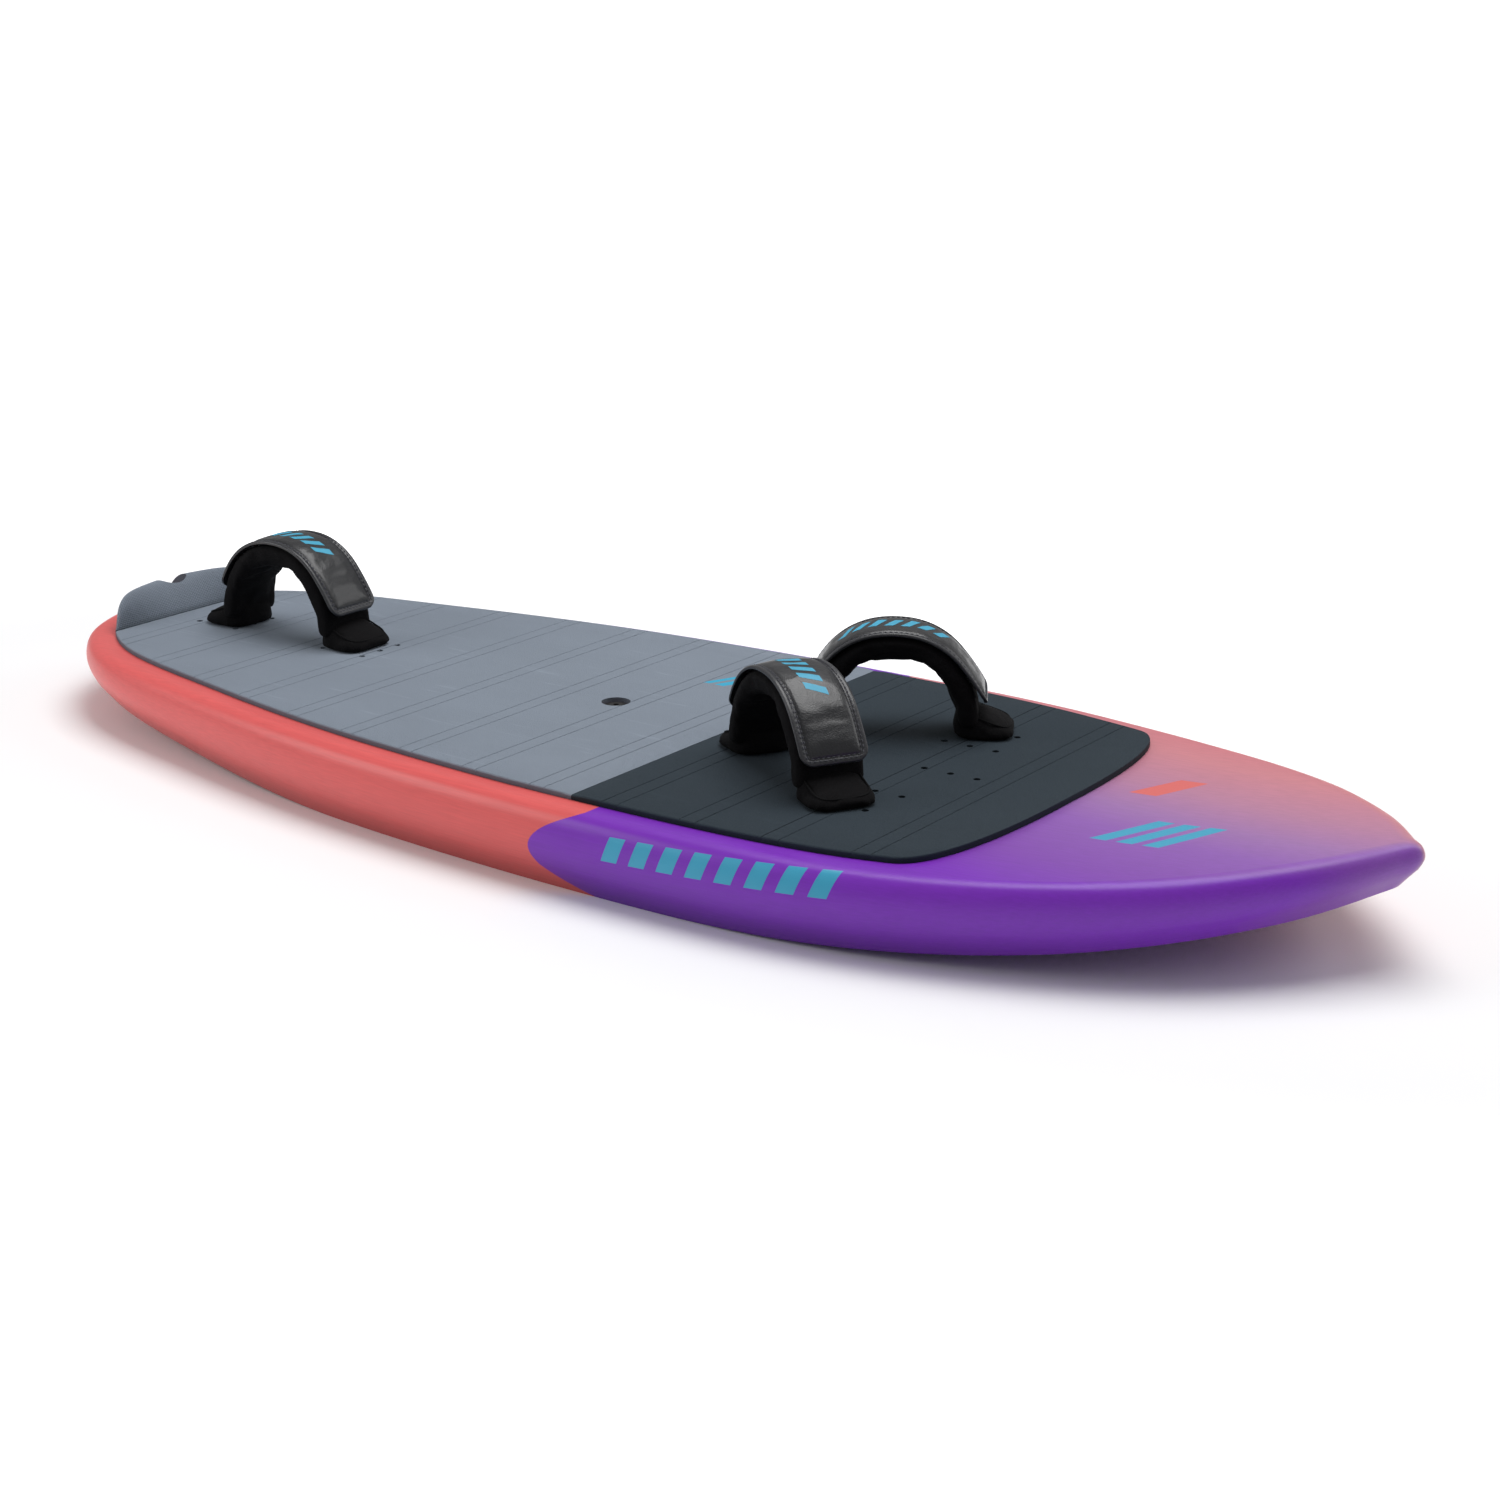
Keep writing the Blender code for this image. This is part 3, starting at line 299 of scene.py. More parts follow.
def lacquer():
    """Satin paint: coral and purple swap sides at mid-length, and the nose fades across the deck."""
    s = Shader("hull_lacquer", roughness=0.36)
    x, y, z = s.split()
    normal = s.node("ShaderNodeSeparateXYZ")
    s.plug(normal.inputs[0], s.node("ShaderNodeTexCoord").outputs["Normal"])
    side = normal.outputs[1]

    mid_rail = s.calc("SUBTRACT", z, 0.036)
    edge = s.calc("MULTIPLY_ADD", s.calc("MULTIPLY", mid_rail, mid_rail), 42.0, 0.047)
    forward = s.step(s.calc("SUBTRACT", x, edge), -0.0004, 0.0004)

    across = s.calc("MULTIPLY_ADD", x, 0.25, s.calc("SUBTRACT", y, 0.1125))
    across = s.calc("MULTIPLY_ADD", side, 0.24, across)
    share = s.calc("MULTIPLY_ADD", across, 2.0, 0.5, clamp=True)
    nose = s.ramp(
        share,
        (
            (0.10, PURPLE),
            (0.24, "8245AE"),
            (0.42, "8F5BB2"),
            (0.52, LILAC),
            (0.64, "B87E9D"),
            (0.80, SALMON),
            (1.0, "D27076"),
        ),
    )
    tail_side = s.step(s.calc("MULTIPLY_ADD", side, 0.03, y), -0.015, 0.055)
    tail = s.mix(tail_side, linear(CORAL), linear(PURPLE))
    colour = s.mix(forward, tail, nose)

    # Painted shade: the colour darkens with falling height, to 0.66 at the foot of the rail, in place of
    # the shade on the downward-facing lower rail
    low_rail_painted_shade = s.step(z, 0.004, 0.052)
    colour = s.shade(colour, low_rail_painted_shade, 0.66, 1.0)
    grain = s.noise(26.0, (1.0, 14.0, 30.0), 6.0)
    cloudy = s.noise(5.0, (1, 1, 1), 3.0)
    colour = s.shade(colour, grain, 0.86, 1.12)
    colour = s.shade(colour, cloudy, 0.96, 1.04)

    # A row of slanted teal bars on the right rail, two on the nose, and a coral badge
    slanted = s.calc("MULTIPLY_ADD", z, -0.35, x)
    phase = s.calc("FRACT", s.calc("DIVIDE", slanted, 0.0262))
    bars = s.calc("MULTIPLY", s.step(phase, 0.10, 0.13), s.step(phase, 0.70, 0.67))
    window = s.calc("MULTIPLY", s.step(slanted, 0.0995, 0.1), s.step(slanted, 0.3106, 0.3101))
    depth = s.calc("SUBTRACT", z, s.calc("MULTIPLY", s.calc("SUBTRACT", x, 0.1), 0.045))
    height = s.calc("MULTIPLY", s.step(depth, 0.0388, 0.0392), s.step(depth, 0.0589, 0.0585))
    band = s.calc("MULTIPLY", height, s.step(y, -0.1, -0.12))
    teal_marks = s.calc("MULTIPLY", s.calc("MULTIPLY", bars, window), band)
    on_deck = s.step(z, 0.060, 0.061)
    for centre_x in (0.470, 0.492, 0.514):
        bar = s.patch((centre_x, -0.040), (0.0070, 0.030), 0.45)
        teal_marks = s.calc("MAXIMUM", teal_marks, s.calc("MULTIPLY", bar, on_deck))
    colour = s.mix(teal_marks, colour, linear(TEAL))
    badge = s.calc("MULTIPLY", s.patch((0.443, 0.072), (0.0120, 0.024), 0.45), on_deck)
    colour = s.mix(badge, colour, linear(BADGE))

    s.set("Base Color", colour)
    s.set("Roughness", s.calc("MULTIPLY_ADD", cloudy, 0.12, 0.30))
    s.set("Specular IOR Level", 0.36)
    s.set("Coat Weight", 0.06)
    s.set("Coat Roughness", 0.30)
    s.bump((grain, 0.00008), (s.noise(420.0), 0.00003))
    return s.mat


def foam(name, colour, contrast, pattern=0.0, marks=()):
    """Closed-cell deck foam: sanded grain, faint scuffs, painted shade on the upright side faces and, with
    a pattern depth, embossed diamonds.
    """
    s = Shader(name, roughness=0.86)
    x, y, z = s.split()
    fine = s.noise(1500.0, detail=2.0)
    pores = s.cells(900.0)
    cloudy = s.noise(9.0, (1, 2.2, 1), 5.0)
    scuffs = s.noise(60.0, (0.25, 3.0, 1.0), 8.0)
    colour = s.shade(linear(colour), fine, 1 - contrast, 1 + contrast)
    colour = s.shade(colour, cloudy, 0.92, 1.07)
    colour = s.shade(colour, s.step(scuffs, 0.60, 0.80), 1.0, 1.16)
    layers = [(fine, 0.00030), (pores, 0.00025), (scuffs, 0.00014)]
    for centre, half in marks:
        colour = s.mix(s.patch(centre, half, 0.45), colour, linear(TEAL))
    # Painted shade: faces that tilt far from level, such as the pad and kick side walls and the steepest
    # part of the kick's front face, are darkened to 0.62
    normal = s.node("ShaderNodeSeparateXYZ")
    s.plug(normal.inputs[0], s.node("ShaderNodeTexCoord").outputs["Normal"])
    colour = s.shade(colour, s.step(normal.outputs[2], 0.05, 0.45), 0.62, 1.0)
    if pattern:
        up_slope = s.calc("SUBTRACT", z, x)
        waves = []
        for slope in (1.0, -1.0):
            leaning = s.calc("MULTIPLY_ADD", y, slope, up_slope)
            waves.append(s.calc("SINE", s.calc("MULTIPLY", leaning, 2 * math.pi / 0.0042)))
        diamonds = s.calc("MULTIPLY_ADD", s.calc("MULTIPLY", waves[0], waves[1]), 0.5, 0.5)
        colour = s.shade(colour, diamonds, 0.76, 1.14)
        layers.append((diamonds, pattern))
    s.set("Base Color", colour)
    s.set("Specular IOR Level", 0.18)
    s.set("Sheen Weight", 0.02)
    s.bump(*layers)
    return s.mat


def neoprene():
    s = Shader("strap_neoprene", "08080B", 0.82)
    x, y, z = s.split()
    knit = s.calc(
        "MULTIPLY",
        s.calc("SINE", s.calc("MULTIPLY", s.calc("ADD", x, z), 2 * math.pi / 0.0011)),
        s.calc("SINE", s.calc("MULTIPLY", y, 2 * math.pi / 0.0009)),
    )
    fuzz = s.noise(700.0, detail=3.0)
    creases = s.noise(55.0, (1.0, 0.5, 1.0), 5.0)
    s.set("Base Color", s.shade(s.shade(linear("080709"), fuzz, 0.6, 1.5), creases, 0.75, 1.25))
    s.set("Specular IOR Level", 0.12)
    s.set("Sheen Weight", 0.01)
    s.set("Sheen Roughness", 0.5)
    s.bump((creases, 0.0011), (knit, 0.00010), (fuzz, 0.00010))
    return s.mat


def leather(name, colour, roughness, crease_depth=0.0005):
    s = Shader(name, colour, roughness)
    pebbles = s.cells(950.0, "SMOOTH_F1")
    creases = s.noise(38.0, (1.0, 1.0, 1.0), 7.0)
    fine = s.noise(1300.0, detail=2.0)
    base = s.shade(linear(colour), creases, 0.80, 1.22)
    s.set("Base Color", s.shade(base, pebbles, 0.85, 1.10))
    s.set("Roughness", s.calc("MULTIPLY_ADD", creases, 0.22, roughness - 0.11))
    s.set("Specular IOR Level", 0.45)
    s.set("Coat Weight", 0.35)
    s.set("Coat Roughness", 0.16)
    s.bump((creases, crease_depth), (pebbles, 0.00024), (fine, 0.00006))
    return s.mat


def plain(name, colour, roughness, metallic=0.0, grain=500.0, depth=0.00005, spread=0.10):
    """Moulded plastic, thread, rubber or metal with a fine grain and slight colour variation."""
    s = Shader(name, colour, roughness, metallic)
    fine = s.noise(grain)
    worn = s.noise(24.0, detail=5.0)
    s.set("Base Color", s.shade(s.shade(linear(colour), fine, 1 - spread, 1 + spread), worn, 0.92, 1.08))
    s.set("Roughness", s.calc("MULTIPLY_ADD", worn, 0.15, roughness - 0.07))
    s.bump((fine, depth))
    return s.mat


def woven(name, colour):
    s = Shader(name, colour, 0.8)
    x, y, z = s.split()
    warp = s.calc("SINE", s.calc("MULTIPLY", s.calc("ADD", x, z), 2 * math.pi / 0.0024))
    weft = s.calc("SINE", s.calc("MULTIPLY", y, 2 * math.pi / 0.0015))
    weave = s.calc("MULTIPLY_ADD", s.calc("MULTIPLY", warp, weft), 0.5, 0.5)
    s.set("Base Color", s.shade(linear(colour), weave, 0.6, 1.3))
    s.set("Specular IOR Level", 0.15)
    s.bump((weave, 0.0003))
    return s.mat


# ---------------------------------------------------------------- mesh tools


def new_object(name, points, faces, mats, sharp=35.0, face_mats=None):
    mesh = bpy.data.meshes.new(name)
    mesh.from_pydata([tuple(p) for p in points], [], faces)
    shape = bmesh.new()
    shape.from_mesh(mesh)
    bmesh.ops.remove_doubles(shape, verts=shape.verts, dist=1e-7)
    bmesh.ops.recalc_face_normals(shape, faces=shape.faces)
    shape.to_mesh(mesh)
    shape.free()
    for mat in mats:
        mesh.materials.append(mat)
    if face_mats is not None:
        mesh.polygons.foreach_set("material_index", face_mats)
    mesh.shade_smooth()
    mesh.set_sharp_from_angle(angle=math.radians(sharp))
    obj = bpy.data.objects.new(name, mesh)
    bpy.context.scene.collection.objects.link(obj)
    return obj


def loft(rings, closed_ends=True):
    """Quads through closed rings of equal length."""
    size = len(rings[0])
    points = [point for ring in rings for point in ring]
    faces = []
    for row in range(len(rings) - 1):
        low, high = row * size, (row + 1) * size
        faces += [[low + i, low + (i + 1) % size, high + (i + 1) % size, high + i] for i in range(size)]
    if closed_ends:
        last = (len(rings) - 1) * size
        faces += [list(range(size))[::-1], list(range(last, last + size))]
    return points, faces


def joined(shapes):
    points, faces = [], []
    for shape_points, shape_faces in shapes:
        start = len(points)
        points += shape_points
        faces += [[start + index for index in face] for face in shape_faces]
    return points, faces


def circle(centre, radius, z, segments=20):
    turns = [2 * math.pi * i / segments for i in range(segments)]
    return [(centre[0] + radius * math.cos(t), centre[1] + radius * math.sin(t), z) for t in turns]


def apply_modifiers(obj):
    """Bakes the modifiers into the mesh."""
    graph = bpy.context.evaluated_depsgraph_get()
    mesh = bpy.data.meshes.new_from_object(obj.evaluated_get(graph))
    obj.modifiers.clear()
    obj.data = mesh


def cut(obj, points, faces):
    """Takes a closed shape out of the object for good."""
    tool = new_object("cutter", points, faces, [])
    modifier = obj.modifiers.new("cut", "BOOLEAN")
    modifier.operation = "DIFFERENCE"
    modifier.object = tool
    apply_modifiers(obj)
    bpy.data.objects.remove(tool, do_unlink=True)
    obj.data.shade_smooth()
    obj.data.set_sharp_from_angle(angle=math.radians(32))


def hole_shapes(places, radius, low, high):
    return joined(loft([circle(place, radius, low), circle(place, radius, high)]) for place in places)


# ---------------------------------------------------------------- hull form


def smooth_curve(corners, spacing, mirrored=True):
    """A centripetal Catmull-Rom curve through plan points."""
    knots = [Vector(corner) for corner in corners]
    if mirrored:
        ends = (Vector((corners[1][0], -corners[1][1])), Vector((corners[-2][0], -corners[-2][1])))
    else:
        ends = (2 * knots[0] - knots[1], 2 * knots[-1] - knots[-2])
    knots = [ends[0], *knots, ends[1]]
    curve = []
    for before, start, end, after in zip(knots, knots[1:], knots[2:], knots[3:]):
        times = [0.0]
        for low, high in ((before, start), (start, end), (end, after)):
            times.append(times[-1] + math.sqrt((high - low).length))
        steps = max(2, round((end - start).length / spacing))
        for step in range(steps):
            now = times[1] + (times[2] - times[1]) * step / steps
            points = [before, start, end, after]
            for level in (1, 2, 3):
                for i in range(4 - level):
                    low, high = (times[i], times[i + level]) if level < 3 else (times[1], times[2])
                    points[i] = points[i].lerp(points[i + 1], (now - low) / (high - low))
            curve.append((points[0].x, points[0].y))
    return curve + [tuple(corners[-1])]


FINE_RAIL = smooth_curve(RAIL_LINE, 0.004)
FINE_X = [point[0] for point in FINE_RAIL]
FINE_Y = [point[1] for point in FINE_RAIL]


def half_width(x):
    return float(np.interp(x, FINE_X, FINE_Y))


def rise(distance, height, start, length, power):
    """How far a line has risen at a distance from mid-length."""
    return height * max(0.0, (distance - start) / length) ** power


def deck_z(x):
    return DECK_HEIGHT + rise(x, *DECK_RISE)


def rail_bottom_z(x):
    return rise(x, *RAIL_NOSE_RISE) + rise(x, *TIP_CURL_RISE) + rise(-x, *RAIL_TAIL_RISE)


def keel_z(x):
    return rise(x, *KEEL_NOSE_RISE) + rise(x, *TIP_CURL_RISE) + rise(-x, *KEEL_TAIL_RISE)


def moved_in(point, distance):
    """A plan point moved in from the rail, towards the nearest part of the board's spine."""
    x, y = point
    spine_x = min(max(x, -LENGTH / 2 + 0.13), LENGTH / 2 - 0.20)
    step = Vector((spine_x - x, -y)).normalized() * distance
    return x + step.x, y + step.y


def hull_surface():
    """The closed outer surface: rail rings from the deck to the bottom edge, then two keel rows."""
    rail = [(x, -y) for x, y in FINE_RAIL] + FINE_RAIL[-2:0:-1]
    count, half = len(rail), len(rail) // 2
    chine_start = len(RAIL_PROFILE) - 2
    round_part = smooth_curve(RAIL_PROFILE[: chine_start + 1], 0.04, mirrored=False)
    low, edge = RAIL_PROFILE[chine_start], RAIL_PROFILE[-1]
    bevel = [tuple(a + (b - a) * share for a, b in zip(low, edge)) for share in BEVEL_SHARES]
    profile = [*DECK_EDGE_ROWS, *round_part, *bevel]
    points = []
    for distance, share in profile:
        for corner in rail:
            x, y = moved_in(corner, distance)
            bottom = rail_bottom_z(x)
            points.append((x, y, bottom + share * (deck_z(x) - bottom)))
    last = (len(profile) - 1) * count
    keel = len(points)
    for side in (1, -1):
        points += [(x, side * KEEL_SHARE * y, keel_z(x)) for x, y, _ in points[last + 1 : last + half]]

    faces = [[i, i + 1, count - i - 1, (count - i) % count] for i in range(half)]
    for ring in range(len(profile) - 1):
        start = ring * count
        for i in range(count):
            after = (i + 1) % count
            faces.append([start + i, start + count + i, start + count + after, start + after])
    strips = (
        [last + i for i in range(half + 1)],
        [last] + [keel + i for i in range(half - 1)] + [last + half],
        [last] + [keel + half - 1 + i for i in range(half - 1)] + [last + half],
        [last] + [last + count - i for i in range(1, half)] + [last + half],
    )
    for near, far in zip(strips, strips[1:]):
        faces += [[near[i], far[i], far[i + 1], near[i + 1]] for i in range(half)]
    faces = [list(dict.fromkeys(face)) for face in faces]
    return points, [face for face in faces if len(face) > 2]


def screw_hole_places():
    """The plan place of every strap screw hole, with the spare rows."""
    rows = list(SPARE_HOLE_ROWS)
    places = []
    for name, (x, y), heading, _ in STRAPS:
        for reach in (SCREW_REACH, -SCREW_REACH):
            spot = (x + reach * math.cos(heading), y + reach * math.sin(heading))
            rows.append(spot)
            if name == "rear_strap":
                steps = (-SCREW_PITCH, SCREW_PITCH)
                places += [(spot[0] + step, lane) for step in steps for lane in (-0.024, 0.024)]
    places += [(x + step * SCREW_PITCH, y) for x, y in rows for step in (-1, 0, 1)]
    return places


def vent_centre():
    low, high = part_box("vent_body")
    return (low.x + high.x) / 2, 0.0


def build_hull(mats):
    points, faces = hull_surface()
    hull = new_object("hull_shell", points, faces, [mats["lacquer"]], 28.0)
    above = DECK_HEIGHT + 0.02
    cuts = [
        hole_shapes(screw_hole_places(), SCREW_HOLE_RADIUS, DECK_HEIGHT - 0.012, above),
        hole_shapes([vent_centre()], VENT_HOLE_RADIUS, DECK_HEIGHT - 0.025, above),
    ]
    for side in ("left", "right"):
        low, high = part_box(f"foil_track_{side}")
        (x0, y0), (x1, y1) = (low.x - GAP, low.y - GAP), (high.x + GAP, high.y + GAP)
        ring = ((x0, y0), (x1, y0), (x1, y1), (x0, y1))
        cuts.append(loft([[(x, y, z) for x, y in ring] for z in (-0.01, high.z + GAP)]))
    cut(hull, *joined(cuts))
    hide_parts("deck_skin", "bottom_skin")
    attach(hull, "board")


# ---------------------------------------------------------------- pads


def pad_half_width(x):
    step = 0.001
    slope = (half_width(x + step) - half_width(x - step)) / (2 * step)
    return half_width(x) - (PAD_INSET + 0.015 * max(0.0, x)) * math.hypot(1, slope)


def front_pad_half_width(x):
    share = max(0.0, (x - (PAD_FRONT_X - PAD_CAP_LENGTH)) / PAD_CAP_LENGTH)
    return pad_half_width(x) * max(0.0, 1 - share**2.6) ** (1 / 2.6)


def groove_lines(low, high):
    """The X of each groove between two stations: close pairs at an even pitch."""
    lines = []
    for index in range(-8, 6):
        for side in (-0.5, 0.5):
            x = GROOVE_PAIR_X + index * GROOVE_PAIR_PITCH + side * GROOVE_PAIR_SPACING
            if low + 0.004 < x < high - 0.004:
                lines.append(x)
    return lines


def pad_shape(stations, width_at, grooves, groove_depth):
    """A foam sheet on the deck with a rounded top edge and pressed grooves."""
    drops = {x: 0.0 for x in stations}
    for x in grooves:
        for offset, drop in ((-1.0, 0.0), (-0.45, 1.0), (0.45, 1.0), (1.0, 0.0)):
            drops[x + offset * GROOVE_WIDTH / 2] = drop * groove_depth
    ordered = sorted(drops)
    ends = (ordered[0], ordered[-1])
    inner = 14
    rings = []
    for x in ordered:
        width = width_at(x)
        low = deck_z(x) + GAP
        end_drop = PAD_END_DROP if x in ends else 0.0
        top = low + PAD_THICK - drops[x] - end_drop
        edge = [(-width + inset * min(1.0, width / 0.01), top - drop) for inset, drop in PAD_EDGE]
        flat = width - PAD_EDGE[-1][0] * min(1.0, width / 0.01)
        middle = [(flat * (2 * i / inner - 1), top) for i in range(1, inner)]
        across = [(-width, low), *edge, *middle, *[(-y, z) for y, z in reversed(edge)], (width, low)]
        rings.append([(x, y, z) for y, z in across])
    return loft(rings)


def tail_pad_line():
    line = [(-LENGTH / 2 + PAD_INSET, 0.0)]
    for before, at, after in zip(FINE_RAIL, FINE_RAIL[1:], FINE_RAIL[2:]):
        along = Vector((after[0] - before[0], after[1] - before[1])).normalized()
        x, y = at[0] + along.y * PAD_INSET, at[1] - along.x * PAD_INSET
        if x > KICK_FRONT_X - 0.004:
            return line
        if y > line[-1][1]:
            line.append((x, y))
    return line


def kick_profile(along):
    if along < KICK_CREST:
        return 1 - (1 - along / KICK_CREST) ** 2
    return 1 - (1 - KICK_REAR_RISE) * ((along - KICK_CREST) / (1 - KICK_CREST)) ** 2


def kick_shape(rows=26, columns=72):
    """The raised tail pad: a steep front face, a long crest and a fall to the round tail edge."""
    line = tail_pad_line()
    front_half = pad_half_width(KICK_FRONT_X)
    top, bottom = [], []
    for row in range(rows + 1):
        for column in range(columns + 1):
            share = math.sin(math.pi * (column / columns - 0.5))
            along = row / rows
            place = abs(share) * (len(line) - 1)
            index = min(int(place), len(line) - 2)
            rear = Vector(line[index]).lerp(Vector(line[index + 1]), place - index)
            rear_y = math.copysign(rear.y, share)
            x = KICK_FRONT_X + (rear.x - KICK_FRONT_X) * along
            y = front_half * share + (rear_y - front_half * share) * along
            raised = KICK_RISE * (1 - share**8) * kick_profile(along)
            bottom.append((x, y, deck_z(x) + GAP))
            top.append((x, y, deck_z(x) + GAP + PAD_THICK + raised))
    size, under, faces = columns + 1, len(top), []
    for row in range(rows):
        for column in range(columns):
            a = row * size + column
            quad = [a, a + size, a + size + 1, a + 1]
            faces += [quad, [under + index for index in reversed(quad)]]
    rim = [row * size for row in range(rows + 1)] + [rows * size + c for c in range(1, size)]
    rim += [row * size + columns for row in reversed(range(rows))] + list(reversed(range(1, columns)))
    faces += [[a, b, under + b, under + a] for a, b in zip(rim, rim[1:] + rim[:1])]
    return top + bottom, faces


def soften(obj, width, segments=3, angle=40.0):
    bevel = obj.modifiers.new("soften", "BEVEL")
    bevel.width = width
    bevel.segments = segments
    bevel.limit_method = "ANGLE"
    bevel.angle_limit = math.radians(angle)
    bevel.harden_normals = True


def build_pads(mats):
    spacing = 0.012
    rear_low = KICK_FRONT_X + 0.0010
    front_low = PAD_SEAM_X + GAP
    cap_start = PAD_FRONT_X - PAD_CAP_LENGTH
    cap = [cap_start + PAD_CAP_LENGTH * math.sin(math.radians(87) * i / 22) for i in range(23)]
    rear_stations = [*np.arange(rear_low, PAD_SEAM_X, spacing), PAD_SEAM_X]
    front_stations = [*np.arange(front_low, cap_start, spacing), *cap]
    pads = (
        ("rear_pad", rear_stations, pad_half_width, "light_foam", 0.0007),
        ("front_pad", front_stations, front_pad_half_width, "dark_foam", 0.0005),
    )
    for node, stations, width_at, mat, groove_depth in pads:
        shape = pad_shape(stations, width_at, groove_lines(stations[0], stations[-1]), groove_depth)
        pad = new_object(f"{node}_foam", *shape, [mats[mat]], 50.0)
        places = [place for place in screw_hole_places() if (place[0] < PAD_SEAM_X) == (node == "rear_pad")]
        holes = [hole_shapes(places, PAD_HOLE_RADIUS, 0.06, 0.09)]
        if node == "rear_pad":
            holes.append(hole_shapes([vent_centre()], PAD_VENT_RADIUS, 0.06, 0.09))
        cut(pad, *joined(holes))
        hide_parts(node)
        f"{mat.split('_')[0]}_pad_foam"
        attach(pad, "board")

    kick = new_object("kick_pad_foam", *kick_shape(), [mats["kick_foam"]], 50.0)
    turns = [math.radians(12 * i - 90) for i in range(16)]
    bend = [(1 - math.cos(t), math.sin(t)) for t in turns]
    plan = [(NOTCH_X - NOTCH_BEND_LENGTH * back, NOTCH_HALF_WIDTH * across) for back, across in bend]
    plan += [(-LENGTH / 2, NOTCH_HALF_WIDTH), (-LENGTH / 2, -NOTCH_HALF_WIDTH)]
    cut(kick, *loft([[(x, y, z) for x, y in plan] for z in (0.06, 0.12)]))
    soften(kick, 0.0012)
    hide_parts("kick_pad")
    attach(kick, "board")


# ---------------------------------------------------------------- foot straps


def arch_point(degrees, outward):
    """A point of the arch seen from the side, at an angle from its rear foot and a distance outwards."""
    angle = math.radians(degrees)
    power = 2 / ARCH_POWER
    x = -math.copysign(abs(math.cos(angle)) ** power, math.cos(angle)) * (ARCH_REACH + outward)
    return Vector((x, 0.0, abs(math.sin(angle)) ** power * (ARCH_HEIGHT + outward)))


def arch_height(place):
    """How far a point of a strap lies outside the webbing line."""
    along = abs(place[0]) / ARCH_REACH
    up = max(place[2], 0) / ARCH_HEIGHT
    mean_reach = 0.075
    return ((along**ARCH_POWER + up**ARCH_POWER) ** (1 / ARCH_POWER)) * mean_reach - mean_reach


def sleeve_shape():
    """The padded sleeve before it is filled: a soft-cornered pipe along the arch, closed at both ends."""
    corner, arc = 0.006, 5
    centre_out = (SLEEVE_OUT - SLEEVE_IN) / 2
    half_thick = (SLEEVE_OUT + SLEEVE_IN) / 2 - 0.0012
    half_wide = SLEEVE_WIDTH / 2 - 0.0012
    section = []
    for turn, (a, b) in enumerate(((1, 1), (-1, 1), (-1, -1), (1, -1))):
        for step in range(arc + 1):
            t = math.pi / 2 * (turn + step / arc)
            out = centre_out + a * (half_thick - corner) + corner * math.cos(t)
            section.append((out, b * (half_wide - corner) + corner * math.sin(t)))
    rings = []
    for i in range(57):
        degrees = 6 + 168 * i / 56
        rings.append([arch_point(degrees, out) + Vector((0, y, 0)) for out, y in section])
    return loft(rings)


def foot_shape():
    """The neoprene boot over a strap screw: high against the sleeve, low and rounded at the toe."""
    power = 2 / FOOT_POWER
    rings = []
    for row in range(FOOT_ROWS + 1):
        share = 1 - row / FOOT_ROWS
        dome = (1 - share**7) ** 0.5
        ring = []
        for i in range(FOOT_SEGMENTS):
            t = 2 * math.pi * i / FOOT_SEGMENTS
            u = math.copysign(abs(math.cos(t)) ** power, math.cos(t)) * share
            v = math.copysign(abs(math.sin(t)) ** power, math.sin(t)) * share
            climb = (1 - u) / 2
            height = FOOT_TOE_HEIGHT + FOOT_CLIMB * climb**1.15
            x = FOOT_CENTRE + FOOT_HALF_LENGTH * u
            y = FOOT_HALF_WIDTH * v * (1 - 0.05 * climb)
            ring.append((x, y, GAP + height * dome))
        rings.append(ring)
    points, faces = loft(rings, closed_ends=False)
    faces.append(list(range(FOOT_SEGMENTS))[::-1])
    return points, faces


def fill(obj, cap, pinned, voxel=0.0042, growth=-0.05, seed=0):
    """Swells a closed cloth skin with air, keeps pinned places still and caps how far a point may go."""
    remesh = obj.modifiers.new("remesh", "REMESH")
    remesh.mode = "VOXEL"
    remesh.voxel_size = voxel
    apply_modifiers(obj)
    start = np.array([v.co for v in obj.data.vertices])
    for vertex in obj.data.vertices:
        bend = noise.noise_vector(vertex.co * 90 + Vector((seed, 0, 0)))
        vertex.co += bend * 0.0005
    group = obj.vertex_groups.new(name="held")
    for index, place in enumerate(start):
        group.add([index], pinned(place), "REPLACE")
    cloth = obj.modifiers.new("cloth", "CLOTH")
    cloth.settings.quality = 5
    cloth.settings.mass = 0.2
    cloth.settings.tension_stiffness = 12
    cloth.settings.compression_stiffness = 12
    cloth.settings.bending_stiffness = 0.15
    cloth.settings.use_pressure = True
    cloth.settings.uniform_pressure_force = 4
    cloth.settings.shrink_min = growth
    cloth.settings.vertex_group_mass = "held"
    cloth.settings.effector_weights.gravity = 0
    for frame_number in range(1, 21):
        bpy.context.scene.frame_set(frame_number)
    apply_modifiers(obj)
    bpy.context.scene.frame_set(1)
    moved = np.array([v.co for v in obj.data.vertices])
    step = moved - start
    length = np.linalg.norm(step, axis=1, keepdims=True)
    moved = start + step * np.minimum(1.0, cap / np.maximum(length, 1e-9))
    obj.data.vertices.foreach_set("co", moved.ravel())
    obj.vertex_groups.clear()
    smooth = obj.modifiers.new("smooth", "SMOOTH")
    smooth.factor = 0.5
    smooth.iterations = 2
    finer = obj.modifiers.new("finer", "SUBSURF")
    finer.levels = 1
    finer.render_levels = 1
    apply_modifiers(obj)
    obj.data.shade_smooth()


def in_strap_frame(centre, heading, stretch):
    turned = Matrix.Rotation(heading, 4, "Z") @ Matrix.Diagonal((1.0, 1.0, stretch, 1.0))
    return Matrix.Translation((*centre, PAD_TOP)) @ turned


